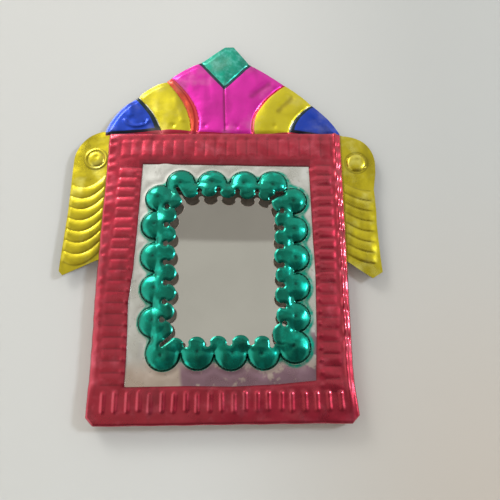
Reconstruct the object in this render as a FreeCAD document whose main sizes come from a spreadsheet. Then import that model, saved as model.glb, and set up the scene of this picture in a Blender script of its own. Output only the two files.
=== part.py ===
import FreeCAD, Part
import os
import Sketcher

Vector = FreeCAD.Vector

# A small wall mirror of struck and lacquered tinwork, about six inches tall.
# It is modelled upright as it hangs: X across, Z up, the front faces -Y and the wall is the plane y = 0.
# Each piece is drawn with z = 0 at the lower edge of the ribbed border, and its placement then brings
# the middle of the border's lower back lip to the origin.

SIZES = [
    # sheet and stack
    ("tin_gauge", 0.4, "thickness of every tin sheet"),
    ("card_thickness", 1.3, "packing card behind the glass"),
    ("glass_thickness", 2.0, "mirror glass"),
    ("seat_clearance", 0.3, "play of a loose piece in its seat"),
    ("cut_overrun", 1.0, "how far a cutting shape runs past its face"),
    # ribbed border
    ("border_width", 94.0, "across the border"),
    ("border_height", 111.7, "up the border"),
    ("corner_clip", 3.6, "snipped lower corners"),
    ("fold_radius", 2.2, "rounded front edge"),
    ("lip_fold_radius", 0.8, "rounded back edge"),
    ("lip_width", 4.0, "edge folded over the back sheet"),
    ("window_width", 67.6, "opening of the border"),
    ("window_height", 84.4, "opening of the border"),
    ("window_shift_across", 0.6, "opening off the centre, to the right"),
    ("window_shift_up", -0.35, "opening off the centre, downwards"),
    ("rib_length", 8.4, "one struck rib"),
    ("rib_width", 3.2, "one struck rib"),
    ("rib_rise", 0.9, "rib above the border's face"),
    ("rib_slope", 40.0, "slope of a rib's sides and ends, in degrees"),
    ("rib_edge_margin", 2.7, "outer edge to the ribs"),
    ("side_rib_pitch", 4.18, "ribs up each side"),
    ("side_rib_count", 21, "ribs up each side"),
    ("side_rib_start", 15.0, "first side rib above the lower edge"),
    ("head_rib_pitch", 4.4, "ribs along the top"),
    ("head_rib_count", 20, "ribs along the top"),
    ("foot_rib_pitch", 4.13, "ribs along the bottom"),
    ("foot_rib_count", 21, "ribs along the bottom"),
    # mirror and its panel
    ("glass_width", 53.0, "mirror glass"),
    ("glass_height", 68.5, "mirror glass"),
    ("glass_lap", 2.5, "panel over the edge of the glass"),
    ("clip_width", 6.0, "bent tab that holds the glass"),
    ("clip_lap", 3.0, "tab over the back of the glass"),
    ("clip_foot", 3.5, "tab's foot on the panel"),
    # scalloped bezel
    ("dome_line_width", 52.2, "rectangle through the middles of the domes"),
    ("dome_line_height", 65.2, "rectangle through the middles of the domes"),
    ("bezel_shift_across", 0.35, "bezel off the middle of the border's opening"),
    ("bezel_shift_up", 0.7, "bezel off the middle of the border's opening"),
    ("dome_radius", 5.6, "one struck dome"),
    ("dome_wall_rise", 1.9, "steep wall of a dome, above the panel"),
    ("dome_wall_slope", 18.0, "steep wall of a dome, in degrees off square"),
    ("dome_crown_rise", 0.9, "rounded crown on a dome's wall"),
    ("dome_crown_slope", 62.0, "crown of a dome, in degrees off square"),
    ("band_rise", 2.2, "band between domes and petals"),
    ("band_reach", 0.8, "band beyond the line of the domes"),
    ("band_corner", 9.0, "cut upper corners of the band"),
    ("opening_width", 37.2, "clear opening between the petal tips"),
    ("opening_height", 53.0, "clear opening between the petal tips"),
    ("petal_radius", 3.35, "one petal"),
    ("petal_rise", 0.4, "top of a petal above the band"),
    ("petal_slope", 10.0, "side of a petal, in degrees off square"),
    ("petal_length", 3.6, "tip of a petal to its root"),
    ("head_dome_pitch", 12.0, "domes along the top"),
    ("head_dome_count", 4, "domes along the top"),
    ("foot_dome_pitch", 11.8, "domes along the bottom"),
    ("foot_dome_count", 5, "domes along the bottom"),
    ("left_dome_pitch", 12.1, "domes up the left side"),
    ("right_dome_pitch", 11.4, "domes up the right side"),
    ("side_dome_count", 5, "domes up each side"),
    ("head_petal_pitch", 7.3, "petals along the top and the bottom"),
    ("head_petal_count", 5, "petals along the top and the bottom"),
    ("side_petal_pitch", 7.4, "petals up each side"),
    ("side_petal_count", 7, "petals up each side"),
    # crest
    ("crest_span", 95.0, "across the foot of the crest"),
    ("crest_rise", 41.2, "crest above the border"),
    ("crest_setback", 2.5, "wall to the back of the crest and wings"),
    ("panel_rise", 0.6, "struck panels of the crest"),
    ("panel_slope", 40.0, "slope of a panel's sides, in degrees"),
    ("flange_depth", 1.9, "flange bent back along the foot of a crest or wing"),
    # wings
    ("wing_reach", 14.9, "wing out from the border's side"),
    ("wing_drop", 59.1, "wing from its top to its tip"),
    ("flute_width", 3.0, "one flute"),
    ("flute_rise", 0.7, "one flute above the wing"),
    ("flute_slope", 50.0, "slope of a flute's sides, in degrees"),
    ("flute_pitch", 4.5, "flutes down the wing"),
    ("flute_count", 8, "flutes down the wing"),
    ("flute_bend_radius", 23.0, "curve of a flute"),
    ("flute_margin", 1.4, "flute to the root or the outer edge"),
    ("boss_radius", 3.6, "round boss at the wing's head"),
    ("boss_rise", 0.6, "round boss on its ring"),
    ("boss_slope", 50.0, "slope of the boss's side, in degrees"),
    ("boss_ring_width", 1.0, "ring struck round the boss"),
    ("boss_ring_rise", 0.35, "ring struck round the boss"),
    # hanger
    ("wire_radius", 0.6, "wire of the hanging ring"),
    ("ring_radius", 7.0, "middle of the ring to the middle of its wire"),
    ("wire_clearance", 0.15, "wire to the back of the crest"),
    ("strap_bore_radius", 1.2, "inside of the strap's loop"),
    ("strap_width", 4.0, "hanger strap"),
    ("strap_foot", 3.5, "each foot of the strap"),
    # solder
    ("dab_length", 4.4, "solder dab along its seam"),
    ("dab_height", 0.55, "solder dab on a wall"),
    ("strap_dab_length", 2.6, "solder dab across a strap's foot"),
]

# Outlines hold the share of the span across and of the rise up, and the radius of the side that follows
# as a share of the span, where that side is an arc. They run clockwise as seen from the front.
CREST_OUTLINE_SHARES = [
    (-0.511, 0.0), (-0.512, 0.056, 0.12), (-0.476, 0.255, 0.16), (-0.374, 0.347, 0.11),
    (-0.263, 0.551, 0.31), (-0.106, 0.799, 0.5), (-0.008, 1.0), (0.035, 1.0, 0.5), (0.104, 0.789, 0.6),
    (0.263, 0.546, 0.3), (0.374, 0.347, 0.2), (0.489, 0.032), (0.489, 0.0),
]
CREST_PANEL_SHARES = {
    "blue_left": [(-0.484, 0.056), (-0.463, 0.216), (-0.384, 0.303), (-0.347, 0.238),
                  (-0.312, 0.104), (-0.298, 0.056)],
    "yellow_left": [(-0.356, 0.347), (-0.321, 0.464), (-0.272, 0.502), (-0.224, 0.383), (-0.185, 0.214),
                    (-0.167, 0.063), (-0.259, 0.063), (-0.277, 0.141), (-0.316, 0.274)],
    "magenta_left": [(-0.238, 0.541), (-0.179, 0.648), (-0.114, 0.743), (-0.019, 0.532),
                     (-0.013, 0.063), (-0.133, 0.063), (-0.152, 0.235), (-0.193, 0.417)],
    "magenta_right": [(0.013, 0.063), (0.013, 0.522), (0.107, 0.731), (0.184, 0.614),
                      (0.238, 0.522), (0.205, 0.4), (0.147, 0.201), (0.112, 0.063)],
    "yellow_right": [(0.272, 0.483), (0.312, 0.415), (0.349, 0.328), (0.312, 0.177), (0.263, 0.063),
                     (0.142, 0.063), (0.179, 0.214), (0.227, 0.371)],
    "blue_right": [(0.375, 0.289), (0.416, 0.192), (0.458, 0.056), (0.3, 0.056), (0.337, 0.165)],
    "diamond": [(-0.087, 0.794), (-0.005, 0.961), (0.031, 0.961), (0.085, 0.784), (-0.004, 0.585)],
}
# A wing's outline holds the share of its reach outwards and of its drop up from the tip.
WING_OUTLINE_SHARES = {
    "left": [(0.0, 0.09), (0.93, 0.0), (1.0, 0.028), (0.9, 0.76, 0.98), (0.08, 1.0), (0.0, 1.0)],
    "right": [(0.0, 1.0), (0.05, 0.993, 0.94), (0.845, 0.77), (0.875, 0.58), (0.85, 0.02), (0.78, 0.0),
              (0.0, 0.09)],
}
# Places along a row, as a share of the row's length from its left or lower end.
HEAD_DOME_START_SHARE = 0.155
FOOT_DOME_START_SHARE = 0.079
LEFT_DOME_START_SHARE = 0.174
RIGHT_DOME_START_SHARE = 0.2
STRAP_HEIGHT_SHARE = 0.62
FLUTE_END_SHARES = {"left": 0.8, "right": 0.75}
BOSS_REACH_SHARE = 0.31
BOSS_DROP_SHARE = 0.815
FLUTE_START_SHARE = 0.105
ROOT_FOOT_SHARE = 0.09
CREST_DAB_SHARES = [-0.36, -0.12, 0.12, 0.36]
WING_DAB_SHARES = [0.2, 0.55, 0.9]
CLIP_SHARES = [-0.25, 0.25]
DAB_CREST_SHARE = 0.3
DOME_SIDES = 14
PETAL_SIDES = 12
FLUTE_STEPS = 3
WIRE_SIDES = 10
# In millimetres: how far a flat face may lie off its plane, a straight edge's length off its ends'
# distance, and two edges off each other where they are sewn. The last is a share of a solid's volume.
FLATNESS = 1e-4
STRAIGHTNESS = 1e-6
SEAM = 1e-5
VOLUME_DRIFT = 1e-5

LEFT, RIGHT = 1, -1

doc = FreeCAD.newDocument("tin_mirror")


def enter_sizes():
    """Write each driving dimension into the sheet, with its name as the cell's alias."""
    table = doc.addObject("Spreadsheet::Sheet", "Sizes")
    for row, (name, number, note) in enumerate(SIZES, start=1):
        table.set(f"A{row}", name)
        table.set(f"B{row}", str(number))
        table.set(f"C{row}", note)
        table.setAlias(f"B{row}", name)
    doc.recompute()
    return table


sheet = enter_sizes()

# Heights of the stack, measured from the wall towards the front.
BACK_SHEET = "Sizes.tin_gauge"
CARD = "2 * Sizes.tin_gauge"
GLASS = "(3 * Sizes.tin_gauge + Sizes.card_thickness)"
PANEL = "(3 * Sizes.tin_gauge + Sizes.card_thickness + Sizes.glass_thickness)"
PANEL_FACE = "(4 * Sizes.tin_gauge + Sizes.card_thickness + Sizes.glass_thickness)"
BORDER_FACE = "(5 * Sizes.tin_gauge + Sizes.card_thickness + Sizes.glass_thickness)"
CREST_FACE = "(Sizes.crest_setback + Sizes.tin_gauge)"
LIP_MIDDLE = "(Sizes.lip_fold_radius + Sizes.lip_width) / 2"
WINDOW_MIDDLE_ACROSS = "Sizes.window_shift_across"
WINDOW_MIDDLE_UP = "(Sizes.border_height / 2 + Sizes.window_shift_up)"
BEZEL_MIDDLE_ACROSS = "(Sizes.window_shift_across + Sizes.bezel_shift_across)"
BEZEL_MIDDLE_UP = "(Sizes.border_height / 2 + Sizes.window_shift_up + Sizes.bezel_shift_up)"


def value(expression):
    """The number that an expression on the sheet gives now."""
    return float(sheet.evalExpression(str(expression)))


def new_body(name):
    """A sub-part's body, named after its node and set down at the origin's height."""
    body = doc.addObject("PartDesign::Body", name)
    body.Label = name
    body.setExpression(".Placement.Base.z", f"-{LIP_MIDDLE}")
    return body


def origin_feature(body, role):
    """The body's own origin plane or axis."""
    return next(item for item in body.Origin.OriginFeatures if item.Role == role)


def new_sketch(body, name, role, out="0", across="0", up="0"):
    """A sketch on an origin plane, lifted off it by `out` and with its zero moved to (across, up)."""
    sketch = body.newObject("Sketcher::SketchObject", name)
    sketch.AttachmentSupport = (origin_feature(body, role), "")
    sketch.MapMode = "FlatFace"
    sketch.setExpression(".AttachmentOffset.Base.x", str(across))
    sketch.setExpression(".AttachmentOffset.Base.y", str(up))
    sketch.setExpression(".AttachmentOffset.Base.z", str(out))
    return sketch


def bind(sketch, constraint, expression):
    """Add a constraint and tie its size to the sheet."""
    index = sketch.addConstraint(constraint)
    sketch.setExpression(f"Constraints[{index}]", str(expression))


def draw_outline(sketch, corners):
    """A closed outline; a corner is (across, up), or (across, up, radius) where an arc leaves it.

    The arc bulges to the left of the way the outline runs, or to its right where RIGHT follows.
    """
    points = [Vector(value(corner[0]), value(corner[1]), 0) for corner in corners]
    ends = []
    for index, corner in enumerate(corners):
        start, stop = points[index], points[(index + 1) % len(points)]
        if len(corner) == 2:
            sketch.addGeometry(Part.LineSegment(start, stop), False)
            ends.append((1, 2))
            continue
        side = corner[3] if len(corner) > 3 else LEFT
        radius = value(corner[2])
        chord = stop - start
        leftward = Vector(-chord.y, chord.x, 0).normalize()
        sagitta = radius - (radius ** 2 - chord.Length ** 2 / 4) ** 0.5
        crown = (start + stop) * 0.5 + leftward * side * sagitta
        begin, end = (stop, start) if side == LEFT else (start, stop)
        arc = Part.Arc(begin, crown, end).toShape().Curve
        first, last = arc.parameter(begin), arc.parameter(end)
        sketch.addGeometry(Part.ArcOfCircle(arc, first, last), False)
        ends.append((2, 1) if side == LEFT else (1, 2))
    for index, corner in enumerate(corners):
        following = (index + 1) % len(corners)
        sketch.addConstraint(
            Sketcher.Constraint("Coincident", index, ends[index][1], following, ends[following][0]))
        bind(sketch, Sketcher.Constraint(
            "DistanceX", -1, 1, index, ends[index][0], points[index].x), corner[0])
        bind(sketch, Sketcher.Constraint(
            "DistanceY", -1, 1, index, ends[index][0], points[index].y), corner[1])
        if len(corner) > 2:
            bind(sketch, Sketcher.Constraint("Radius", index, value(corner[2])), corner[2])


def many_sided(across, up, radius, sides):
    """Corners of a round made of equal flats about (across, up), clockwise."""
    turns = [-360 * number / sides for number in range(sides)]
    return [(f"{across} + {radius} * cos({angle} deg)", f"{up} + {radius} * sin({angle} deg)")
            for angle in turns]


def rectangle(width, height, across="0", up="0"):
    """Corners of a rectangle about (across, up), clockwise."""
    left, right = f"{across} - ({width}) / 2", f"{across} + ({width}) / 2"
    low, high = f"{up} - ({height}) / 2", f"{up} + ({height}) / 2"
    return [(left, low), (left, high), (right, high), (right, low)]


def clipped_sheet(inset):
    """The border's outline with its snipped lower corners, drawn in by `inset` all round."""
    half = f"(Sizes.border_width / 2 - ({inset}))"
    low, high = f"({inset})", f"(Sizes.border_height - ({inset}))"
    clip = "Sizes.corner_clip"
    return [(f"-{half}", f"{low} + {clip}"), (f"-{half}", high), (half, high), (half, f"{low} + {clip}"),
            (f"{half} - {clip}", low), (f"-{half} + {clip}", low)]


def pad(body, sketch, length, taper="0"):
    """Raise a sketch towards its plane's normal."""
    feature = body.newObject("PartDesign::Pad", f"{sketch.Name}_pad")
    feature.Profile = sketch
    feature.setExpression("Length", str(length))
    feature.setExpression("TaperAngle", str(taper))
    feature.Refine = False
    sketch.Visibility = False
    return feature


def pocket(body, sketch, length, taper="0"):
    """Cut a sketch along its plane's normal, and make sure that it removed something."""
    doc.recompute()
    before = body.Shape.Volume
    feature = body.newObject("PartDesign::Pocket", f"{sketch.Name}_cut")
    feature.Profile = sketch
    feature.Reversed = True
    feature.setExpression("Length", str(length))
    feature.setExpression("TaperAngle", str(taper))
    feature.Refine = False
    sketch.Visibility = False
    doc.recompute()
    if not body.Shape.Volume < before:
        raise RuntimeError(f"{sketch.Name} removed nothing from {body.Label}")
    return feature


def turn(body, sketch, axis):
    """Revolve a sketch about one of its own axes."""
    feature = body.newObject("PartDesign::Revolution", f"{sketch.Name}_turned")
    feature.Profile = sketch
    feature.ReferenceAxis = (sketch, [axis])
    feature.Angle = 360
    feature.Refine = False
    sketch.Visibility = False
    return feature


def repeat(body, features, role, pitch, count):
    """Copy features in a row along one of the body's axes."""
    doc.recompute()
    row = body.newObject("PartDesign::LinearPattern", f"{features[0].Name}_row")
    row.Originals = features
    row.Direction = (origin_feature(body, role), [""])
    row.setExpression("Length", f"({pitch}) * ({count} - 1)")
    row.setExpression("Occurrences", count)
    row.Refine = False
    body.Tip = row
    return row


def less(name, outside, inside):
    """The node that is left when the inside form is taken out of the outside one."""
    sheet_metal = doc.addObject("Part::Cut", name)
    sheet_metal.Label = name
    sheet_metal.Base = outside
    sheet_metal.Tool = inside
    doc.recompute()
    if not sheet_metal.Shape.Volume < outside.Shape.Volume:
        raise RuntimeError(f"{name} was not hollowed")
    return sheet_metal


def edges_where(shape, test):
    """Names of a shape's edges whose ends all pass the test."""
    return [f"Edge{number}" for number, edge in enumerate(shape.Edges, start=1)
            if all(test(vertex.Point) for vertex in edge.Vertexes)]


def round_edges(body, base, radius, test):
    """Fillet the edges of the last feature whose ends pass the test."""
    doc.recompute()
    feature = body.newObject("PartDesign::Fillet", f"{base.Name}_fold")
    feature.Base = (base, edges_where(base.Shape, test))
    feature.setExpression("Radius", radius)
    doc.recompute()
    return feature


class RibRow:
    """A row of equal ribs struck forward out of the border."""

    def __init__(self, name, upright, across, up, pitch, count):
        self.name = name
        self.upright = upright
        self.across = across
        self.up = up
        self.pitch = pitch
        self.count = count

    def add(self, body, inset):
        """Raise the first rib, narrower towards its top, then repeat it along the row."""
        sketch = new_sketch(body, f"{body.Label}_{self.name}", "XZ_Plane", out=f"{BORDER_FACE} - {inset}")
        width, height = "Sizes.rib_length", "Sizes.rib_width"
        if self.upright:
            width, height = height, width
        draw_outline(sketch, rectangle(width, height, self.across, self.up))
        rib = pad(body, sketch, "Sizes.rib_rise", "-Sizes.rib_slope")
        return repeat(body, [rib], "X_Axis" if self.upright else "Z_Axis", self.pitch, self.count)


def rib_rows():
    """The four rows of ribs that go round the border."""
    middle = "(Sizes.rib_edge_margin + Sizes.rib_length / 2)"
    side = f"(Sizes.border_width / 2 - {middle})"
    head_first = "-(Sizes.head_rib_pitch * (Sizes.head_rib_count - 1) / 2)"
    foot_first = "-(Sizes.foot_rib_pitch * (Sizes.foot_rib_count - 1) / 2)"
    return [
        RibRow("left_rib", False, f"-{side}", "Sizes.side_rib_start",
               "Sizes.side_rib_pitch", "Sizes.side_rib_count"),
        RibRow("right_rib", False, side, "Sizes.side_rib_start",
               "Sizes.side_rib_pitch", "Sizes.side_rib_count"),
        RibRow("head_rib", True, head_first, f"(Sizes.border_height - {middle})",
               "Sizes.head_rib_pitch", "Sizes.head_rib_count"),
        RibRow("foot_rib", True, foot_first, middle, "Sizes.foot_rib_pitch", "Sizes.foot_rib_count"),
    ]


def border_form(name, inset):
    """The border as a solid block with rounded folds and ribs, drawn in by `inset` all over."""
    body = new_body(name)
    block = new_sketch(body, f"{name}_block", "XZ_Plane", out=inset)
    draw_outline(block, clipped_sheet(inset))
    blank = pad(body, block, f"{BORDER_FACE} - 2 * ({inset})")
    near = value("Sizes.tin_gauge") / 4
    front, rear = value(inset) - value(BORDER_FACE), -value(inset)
    fold = round_edges(body, blank, f"Sizes.fold_radius - {inset}",
                       lambda point: abs(point.y - front) < near)
    round_edges(body, fold, f"Sizes.lip_fold_radius - {inset}", lambda point: abs(point.y - rear) < near)
    for row in rib_rows():
        row.add(body, inset)
    return body


def make_ribbed_border():
    """Tray of struck tin: the outer form less the same form one gauge smaller, with its openings."""
    outer = border_form("border_outside", "0")
    inner = border_form("border_inside", "Sizes.tin_gauge")
    window = new_sketch(inner, "border_window", "XZ_Plane", out="2 * Sizes.tin_gauge")
    draw_outline(window, rectangle("Sizes.window_width", "Sizes.window_height",
                                   WINDOW_MIDDLE_ACROSS, WINDOW_MIDDLE_UP))
    pad(inner, window, f"{BORDER_FACE} + Sizes.cut_overrun")
    back = new_sketch(inner, "border_back", "XZ_Plane", out="-Sizes.cut_overrun")
    draw_outline(back, clipped_sheet("Sizes.lip_width"))
    pad(inner, back, "Sizes.cut_overrun + 1.5 * Sizes.tin_gauge")
    return less("ribbed_border", outer, inner)


def make_flat_sheet(name, out, thickness, outline, opening=None):
    """A plain sheet, with a rectangular opening where one is given."""
    body = new_body(name)
    sketch = new_sketch(body, f"{name}_outline", "XZ_Plane", out=out)
    draw_outline(sketch, outline)
    if opening:
        first = len(outline)
        points = [Vector(value(across), value(up), 0) for across, up in opening]
        for index, point in enumerate(points):
            sketch.addGeometry(Part.LineSegment(point, points[(index + 1) % len(points)]), False)
        for index, (across, up) in enumerate(opening):
            following = first + (index + 1) % len(opening)
            sketch.addConstraint(Sketcher.Constraint("Coincident", first + index, 2, following, 1))
            bind(sketch, Sketcher.Constraint(
                "DistanceX", -1, 1, first + index, 1, points[index].x), across)
            bind(sketch, Sketcher.Constraint(
                "DistanceY", -1, 1, first + index, 1, points[index].y), up)
    pad(body, sketch, thickness)
    return body


class DomeRow:
    """A row of equal domes struck forward out of the bezel."""

    def __init__(self, name, across, up, role, pitch, count):
        self.name = name
        self.across = across
        self.up = up
        self.role = role
        self.pitch = pitch
        self.count = count

    def add(self, body, inset):
        """Raise one dome's wall and the crown on it, then repeat both along the row."""
        wall_rise = f"(Sizes.dome_wall_rise - {inset})"
        shoulder = f"(Sizes.dome_radius - {inset} - {wall_rise} * tan(Sizes.dome_wall_slope * 1 deg))"
        stages = [("wall", "0", f"(Sizes.dome_radius - {inset})", wall_rise, "Sizes.dome_wall_slope"),
                  ("crown", wall_rise, shoulder, "Sizes.dome_crown_rise", "Sizes.dome_crown_slope")]
        features = []
        for stage, lift, radius, rise, slope in stages:
            sketch = new_sketch(body, f"{body.Label}_{self.name}_{stage}", "XZ_Plane",
                                out=f"{PANEL_FACE} + {lift}")
            draw_outline(sketch, many_sided(self.across, self.up, radius, DOME_SIDES))
            features.append(pad(body, sketch, rise, f"-{slope}"))
        return repeat(body, features, self.role, self.pitch, self.count)


def dome_rows():
    """The four rows that go round the bezel."""
    left = f"({BEZEL_MIDDLE_ACROSS} - Sizes.dome_line_width / 2)"
    right = f"({BEZEL_MIDDLE_ACROSS} + Sizes.dome_line_width / 2)"
    low = f"({BEZEL_MIDDLE_UP} - Sizes.dome_line_height / 2)"
    high = f"({BEZEL_MIDDLE_UP} + Sizes.dome_line_height / 2)"
    width, height = "Sizes.dome_line_width", "Sizes.dome_line_height"
    return [
        DomeRow("head_dome", f"{left} + {HEAD_DOME_START_SHARE} * {width}", high, "X_Axis",
                "Sizes.head_dome_pitch", "Sizes.head_dome_count"),
        DomeRow("foot_dome", f"{left} + {FOOT_DOME_START_SHARE} * {width}", low, "X_Axis",
                "Sizes.foot_dome_pitch", "Sizes.foot_dome_count"),
        DomeRow("left_dome", left, f"{low} + {LEFT_DOME_START_SHARE} * {height}", "Z_Axis",
                "Sizes.left_dome_pitch", "Sizes.side_dome_count"),
        DomeRow("right_dome", right, f"{low} + {RIGHT_DOME_START_SHARE} * {height}", "Z_Axis",
                "Sizes.right_dome_pitch", "Sizes.side_dome_count"),
    ]


def petal_rows():
    """Name, first petal's middle, axis, pitch and count of the four rows of petals."""
    half_width = "(Sizes.opening_width / 2 + Sizes.petal_radius)"
    half_height = "(Sizes.opening_height / 2 + Sizes.petal_radius)"
    along_head = f"({BEZEL_MIDDLE_ACROSS} - Sizes.head_petal_pitch * (Sizes.head_petal_count - 1) / 2)"
    along_side = f"({BEZEL_MIDDLE_UP} - Sizes.side_petal_pitch * (Sizes.side_petal_count - 1) / 2)"
    return [
        ("head_petal", along_head, f"({BEZEL_MIDDLE_UP} + {half_height})", "X_Axis",
         "Sizes.head_petal_pitch", "Sizes.head_petal_count"),
        ("foot_petal", along_head, f"({BEZEL_MIDDLE_UP} - {half_height})", "X_Axis",
         "Sizes.head_petal_pitch", "Sizes.head_petal_count"),
        ("left_petal", f"({BEZEL_MIDDLE_ACROSS} - {half_width})", along_side, "Z_Axis",
         "Sizes.side_petal_pitch", "Sizes.side_petal_count"),
        ("right_petal", f"({BEZEL_MIDDLE_ACROSS} + {half_width})", along_side, "Z_Axis",
         "Sizes.side_petal_pitch", "Sizes.side_petal_count"),
    ]


def band_outline(reach):
    """The band's outer edge beyond the line of the domes, with its two upper corners cut."""
    left = f"({BEZEL_MIDDLE_ACROSS} - Sizes.dome_line_width / 2 - ({reach}))"
    right = f"({BEZEL_MIDDLE_ACROSS} + Sizes.dome_line_width / 2 + ({reach}))"
    low = f"({BEZEL_MIDDLE_UP} - Sizes.dome_line_height / 2 - ({reach}))"
    high = f"({BEZEL_MIDDLE_UP} + Sizes.dome_line_height / 2 + ({reach}))"
    cut = "Sizes.band_corner"
    return [(left, low), (left, f"{high} - {cut}"), (f"{left} + {cut}", high),
            (f"{right} - {cut}", high), (right, f"{high} - {cut}"), (right, low)]


def bezel_outside():
    """The bezel as a solid ring: band, petals that overhang the mirror, and domes on their rims."""
    body = new_body("bezel_outside")
    band = new_sketch(body, "bezel_band", "XZ_Plane", out=PANEL_FACE)
    draw_outline(band, band_outline("Sizes.band_reach"))
    pad(body, band, "Sizes.band_rise")
    opening = new_sketch(body, "bezel_opening", "XZ_Plane", out=f"{PANEL_FACE} - Sizes.cut_overrun")
    draw_outline(opening, rectangle("Sizes.opening_width + 2 * Sizes.petal_length",
                                    "Sizes.opening_height + 2 * Sizes.petal_length",
                                    BEZEL_MIDDLE_ACROSS, BEZEL_MIDDLE_UP))
    pocket(body, opening, "Sizes.band_rise + 2 * Sizes.cut_overrun")
    for name, across, up, role, pitch, count in petal_rows():
        sketch = new_sketch(body, name, "XZ_Plane", out=PANEL_FACE)
        draw_outline(sketch, many_sided(across, up, "Sizes.petal_radius", PETAL_SIDES))
        petal = pad(body, sketch, "Sizes.band_rise + Sizes.petal_rise", "-Sizes.petal_slope")
        repeat(body, [petal], role, pitch, count)
    for row in dome_rows():
        row.add(body, "0")
    return body


def bezel_inside():
    """The hollow behind the bezel, one gauge under its outside."""
    body = new_body("bezel_inside")
    under = new_sketch(body, "bezel_hollow", "XZ_Plane", out=f"{PANEL_FACE} - Sizes.cut_overrun")
    draw_outline(under, band_outline("Sizes.band_reach - Sizes.tin_gauge"))
    pad(body, under, "Sizes.band_rise - Sizes.tin_gauge + Sizes.cut_overrun")
    for row in dome_rows():
        row.add(body, "Sizes.tin_gauge")
    return body


def make_scalloped_bezel():
    """Raised ring of nineteen hollow domes, a band, and petals round the mirror."""
    outside, inside = bezel_outside(), bezel_inside()
    doc.recompute()
    ring = doc.addObject("Part::Feature", "scalloped_bezel")
    ring.Label = "scalloped_bezel"
    ring.Shape = outside.Shape.cut(inside.Shape)
    if not ring.Shape.Volume < outside.Shape.Volume:
        raise RuntimeError("scalloped_bezel was not hollowed")
    return ring


def crest_corner(shares):
    """A point of the crest from its shares."""
    across, up = shares[0], shares[1]
    corner = (f"{across} * Sizes.crest_span", f"Sizes.border_height + {up} * Sizes.crest_rise")
    return corner + tuple(f"{radius} * Sizes.crest_span" for radius in shares[2:])


def add_foot_flange(body, name, corners):
    """The narrow flange that is bent back along the border's wall."""
    flange = new_sketch(body, name, "XZ_Plane", out="Sizes.crest_setback - Sizes.flange_depth")
    draw_outline(flange, corners)
    pad(body, flange, "Sizes.flange_depth + Sizes.tin_gauge / 2")


def make_crest():
    """Sheet with seven struck panels, hollow behind, and a flange along its foot."""
    body = new_body("crest")
    outline = new_sketch(body, "crest_outline", "XZ_Plane", out="Sizes.crest_setback")
    draw_outline(outline, [crest_corner(shares) for shares in CREST_OUTLINE_SHARES])
    pad(body, outline, "Sizes.tin_gauge")
    half = "Sizes.border_width / 2 - Sizes.fold_radius"
    add_foot_flange(body, "crest_flange", [
        (f"-({half})", "Sizes.border_height"),
        (f"-({half})", "Sizes.border_height + Sizes.tin_gauge"),
        (half, "Sizes.border_height + Sizes.tin_gauge"),
        (half, "Sizes.border_height")])
    panels = {name: [crest_corner(shares) for shares in corners]
              for name, corners in CREST_PANEL_SHARES.items()}
    for name, corners in panels.items():
        strike(body, name, "0", corners, "Sizes.panel_rise", "Sizes.panel_slope")
    return body


def make_wing(side, sign):
    """Drooping wing with a boss, its ring groove and eight curved flutes, hollow behind."""
    body = new_body(f"wing_{side}")
    root = "Sizes.border_width / 2"
    tip_height = "(Sizes.border_height - Sizes.wing_drop)"
    corners = []
    for shares in WING_OUTLINE_SHARES[side]:
        corner = (f"{sign} * ({root} + {shares[0]} * Sizes.wing_reach)",
                  f"{tip_height} + {shares[1]} * Sizes.wing_drop")
        corners.append(corner + tuple(f"{radius} * Sizes.wing_reach" for radius in shares[2:]))
    outline = new_sketch(body, f"{side}_wing_outline", "XZ_Plane", out="Sizes.crest_setback")
    draw_outline(outline, corners)
    pad(body, outline, "Sizes.tin_gauge")
    low, high = f"{tip_height} + {ROOT_FOOT_SHARE} * Sizes.wing_drop", "Sizes.border_height"
    wall, edge = f"{sign} * ({root})", f"{sign} * ({root} + Sizes.tin_gauge)"
    box = [(wall, low), (wall, high), (edge, high), (edge, low)]
    add_foot_flange(body, f"{side}_wing_flange", box if sign > 0 else box[::-1])

    middle = (f"{sign} * ({root} + {BOSS_REACH_SHARE} * Sizes.wing_reach)",
              f"({tip_height} + {BOSS_DROP_SHARE} * Sizes.wing_drop)")
    ring_radius = "(Sizes.boss_radius + Sizes.boss_ring_width)"
    strike(body, f"{side}_boss_ring", "0", many_sided(*middle, ring_radius, DOME_SIDES),
           "Sizes.boss_ring_rise", "Sizes.boss_slope")
    strike(body, f"{side}_boss", "Sizes.boss_ring_rise",
           many_sided(*middle, "Sizes.boss_radius", DOME_SIDES), "Sizes.boss_rise", "Sizes.boss_slope")

    end = f"{sign} * ({root} + {FLUTE_END_SHARES[side]} * Sizes.wing_reach)"
    reach = f"({FLUTE_END_SHARES[side]} * Sizes.wing_reach - Sizes.flute_margin)"
    first = f"({tip_height} + {FLUTE_START_SHARE} * Sizes.wing_drop + Sizes.flute_bend_radius)"
    corners = flute_outline(sign, end, first, reach)
    flutes = strike(body, f"{side}_flute", "0", corners, "Sizes.flute_rise", "Sizes.flute_slope")
    repeat(body, flutes, "Z_Axis", "Sizes.flute_pitch", "Sizes.flute_count")
    return body


def strike(body, name, lift, corners, rise, slope):
    """Raise an outline on a thin sheet's front and hollow it from behind by as much."""
    raised = new_sketch(body, f"{name}_raised", "XZ_Plane", out=f"{CREST_FACE} + {lift}")
    draw_outline(raised, corners)
    front = pad(body, raised, rise, f"-{slope}")
    hollow = new_sketch(body, f"{name}_hollow", "XZ_Plane", out=f"Sizes.crest_setback + {lift}")
    draw_outline(hollow, corners)
    return [front, pocket(body, hollow, rise, f"-{slope}")]


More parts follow.
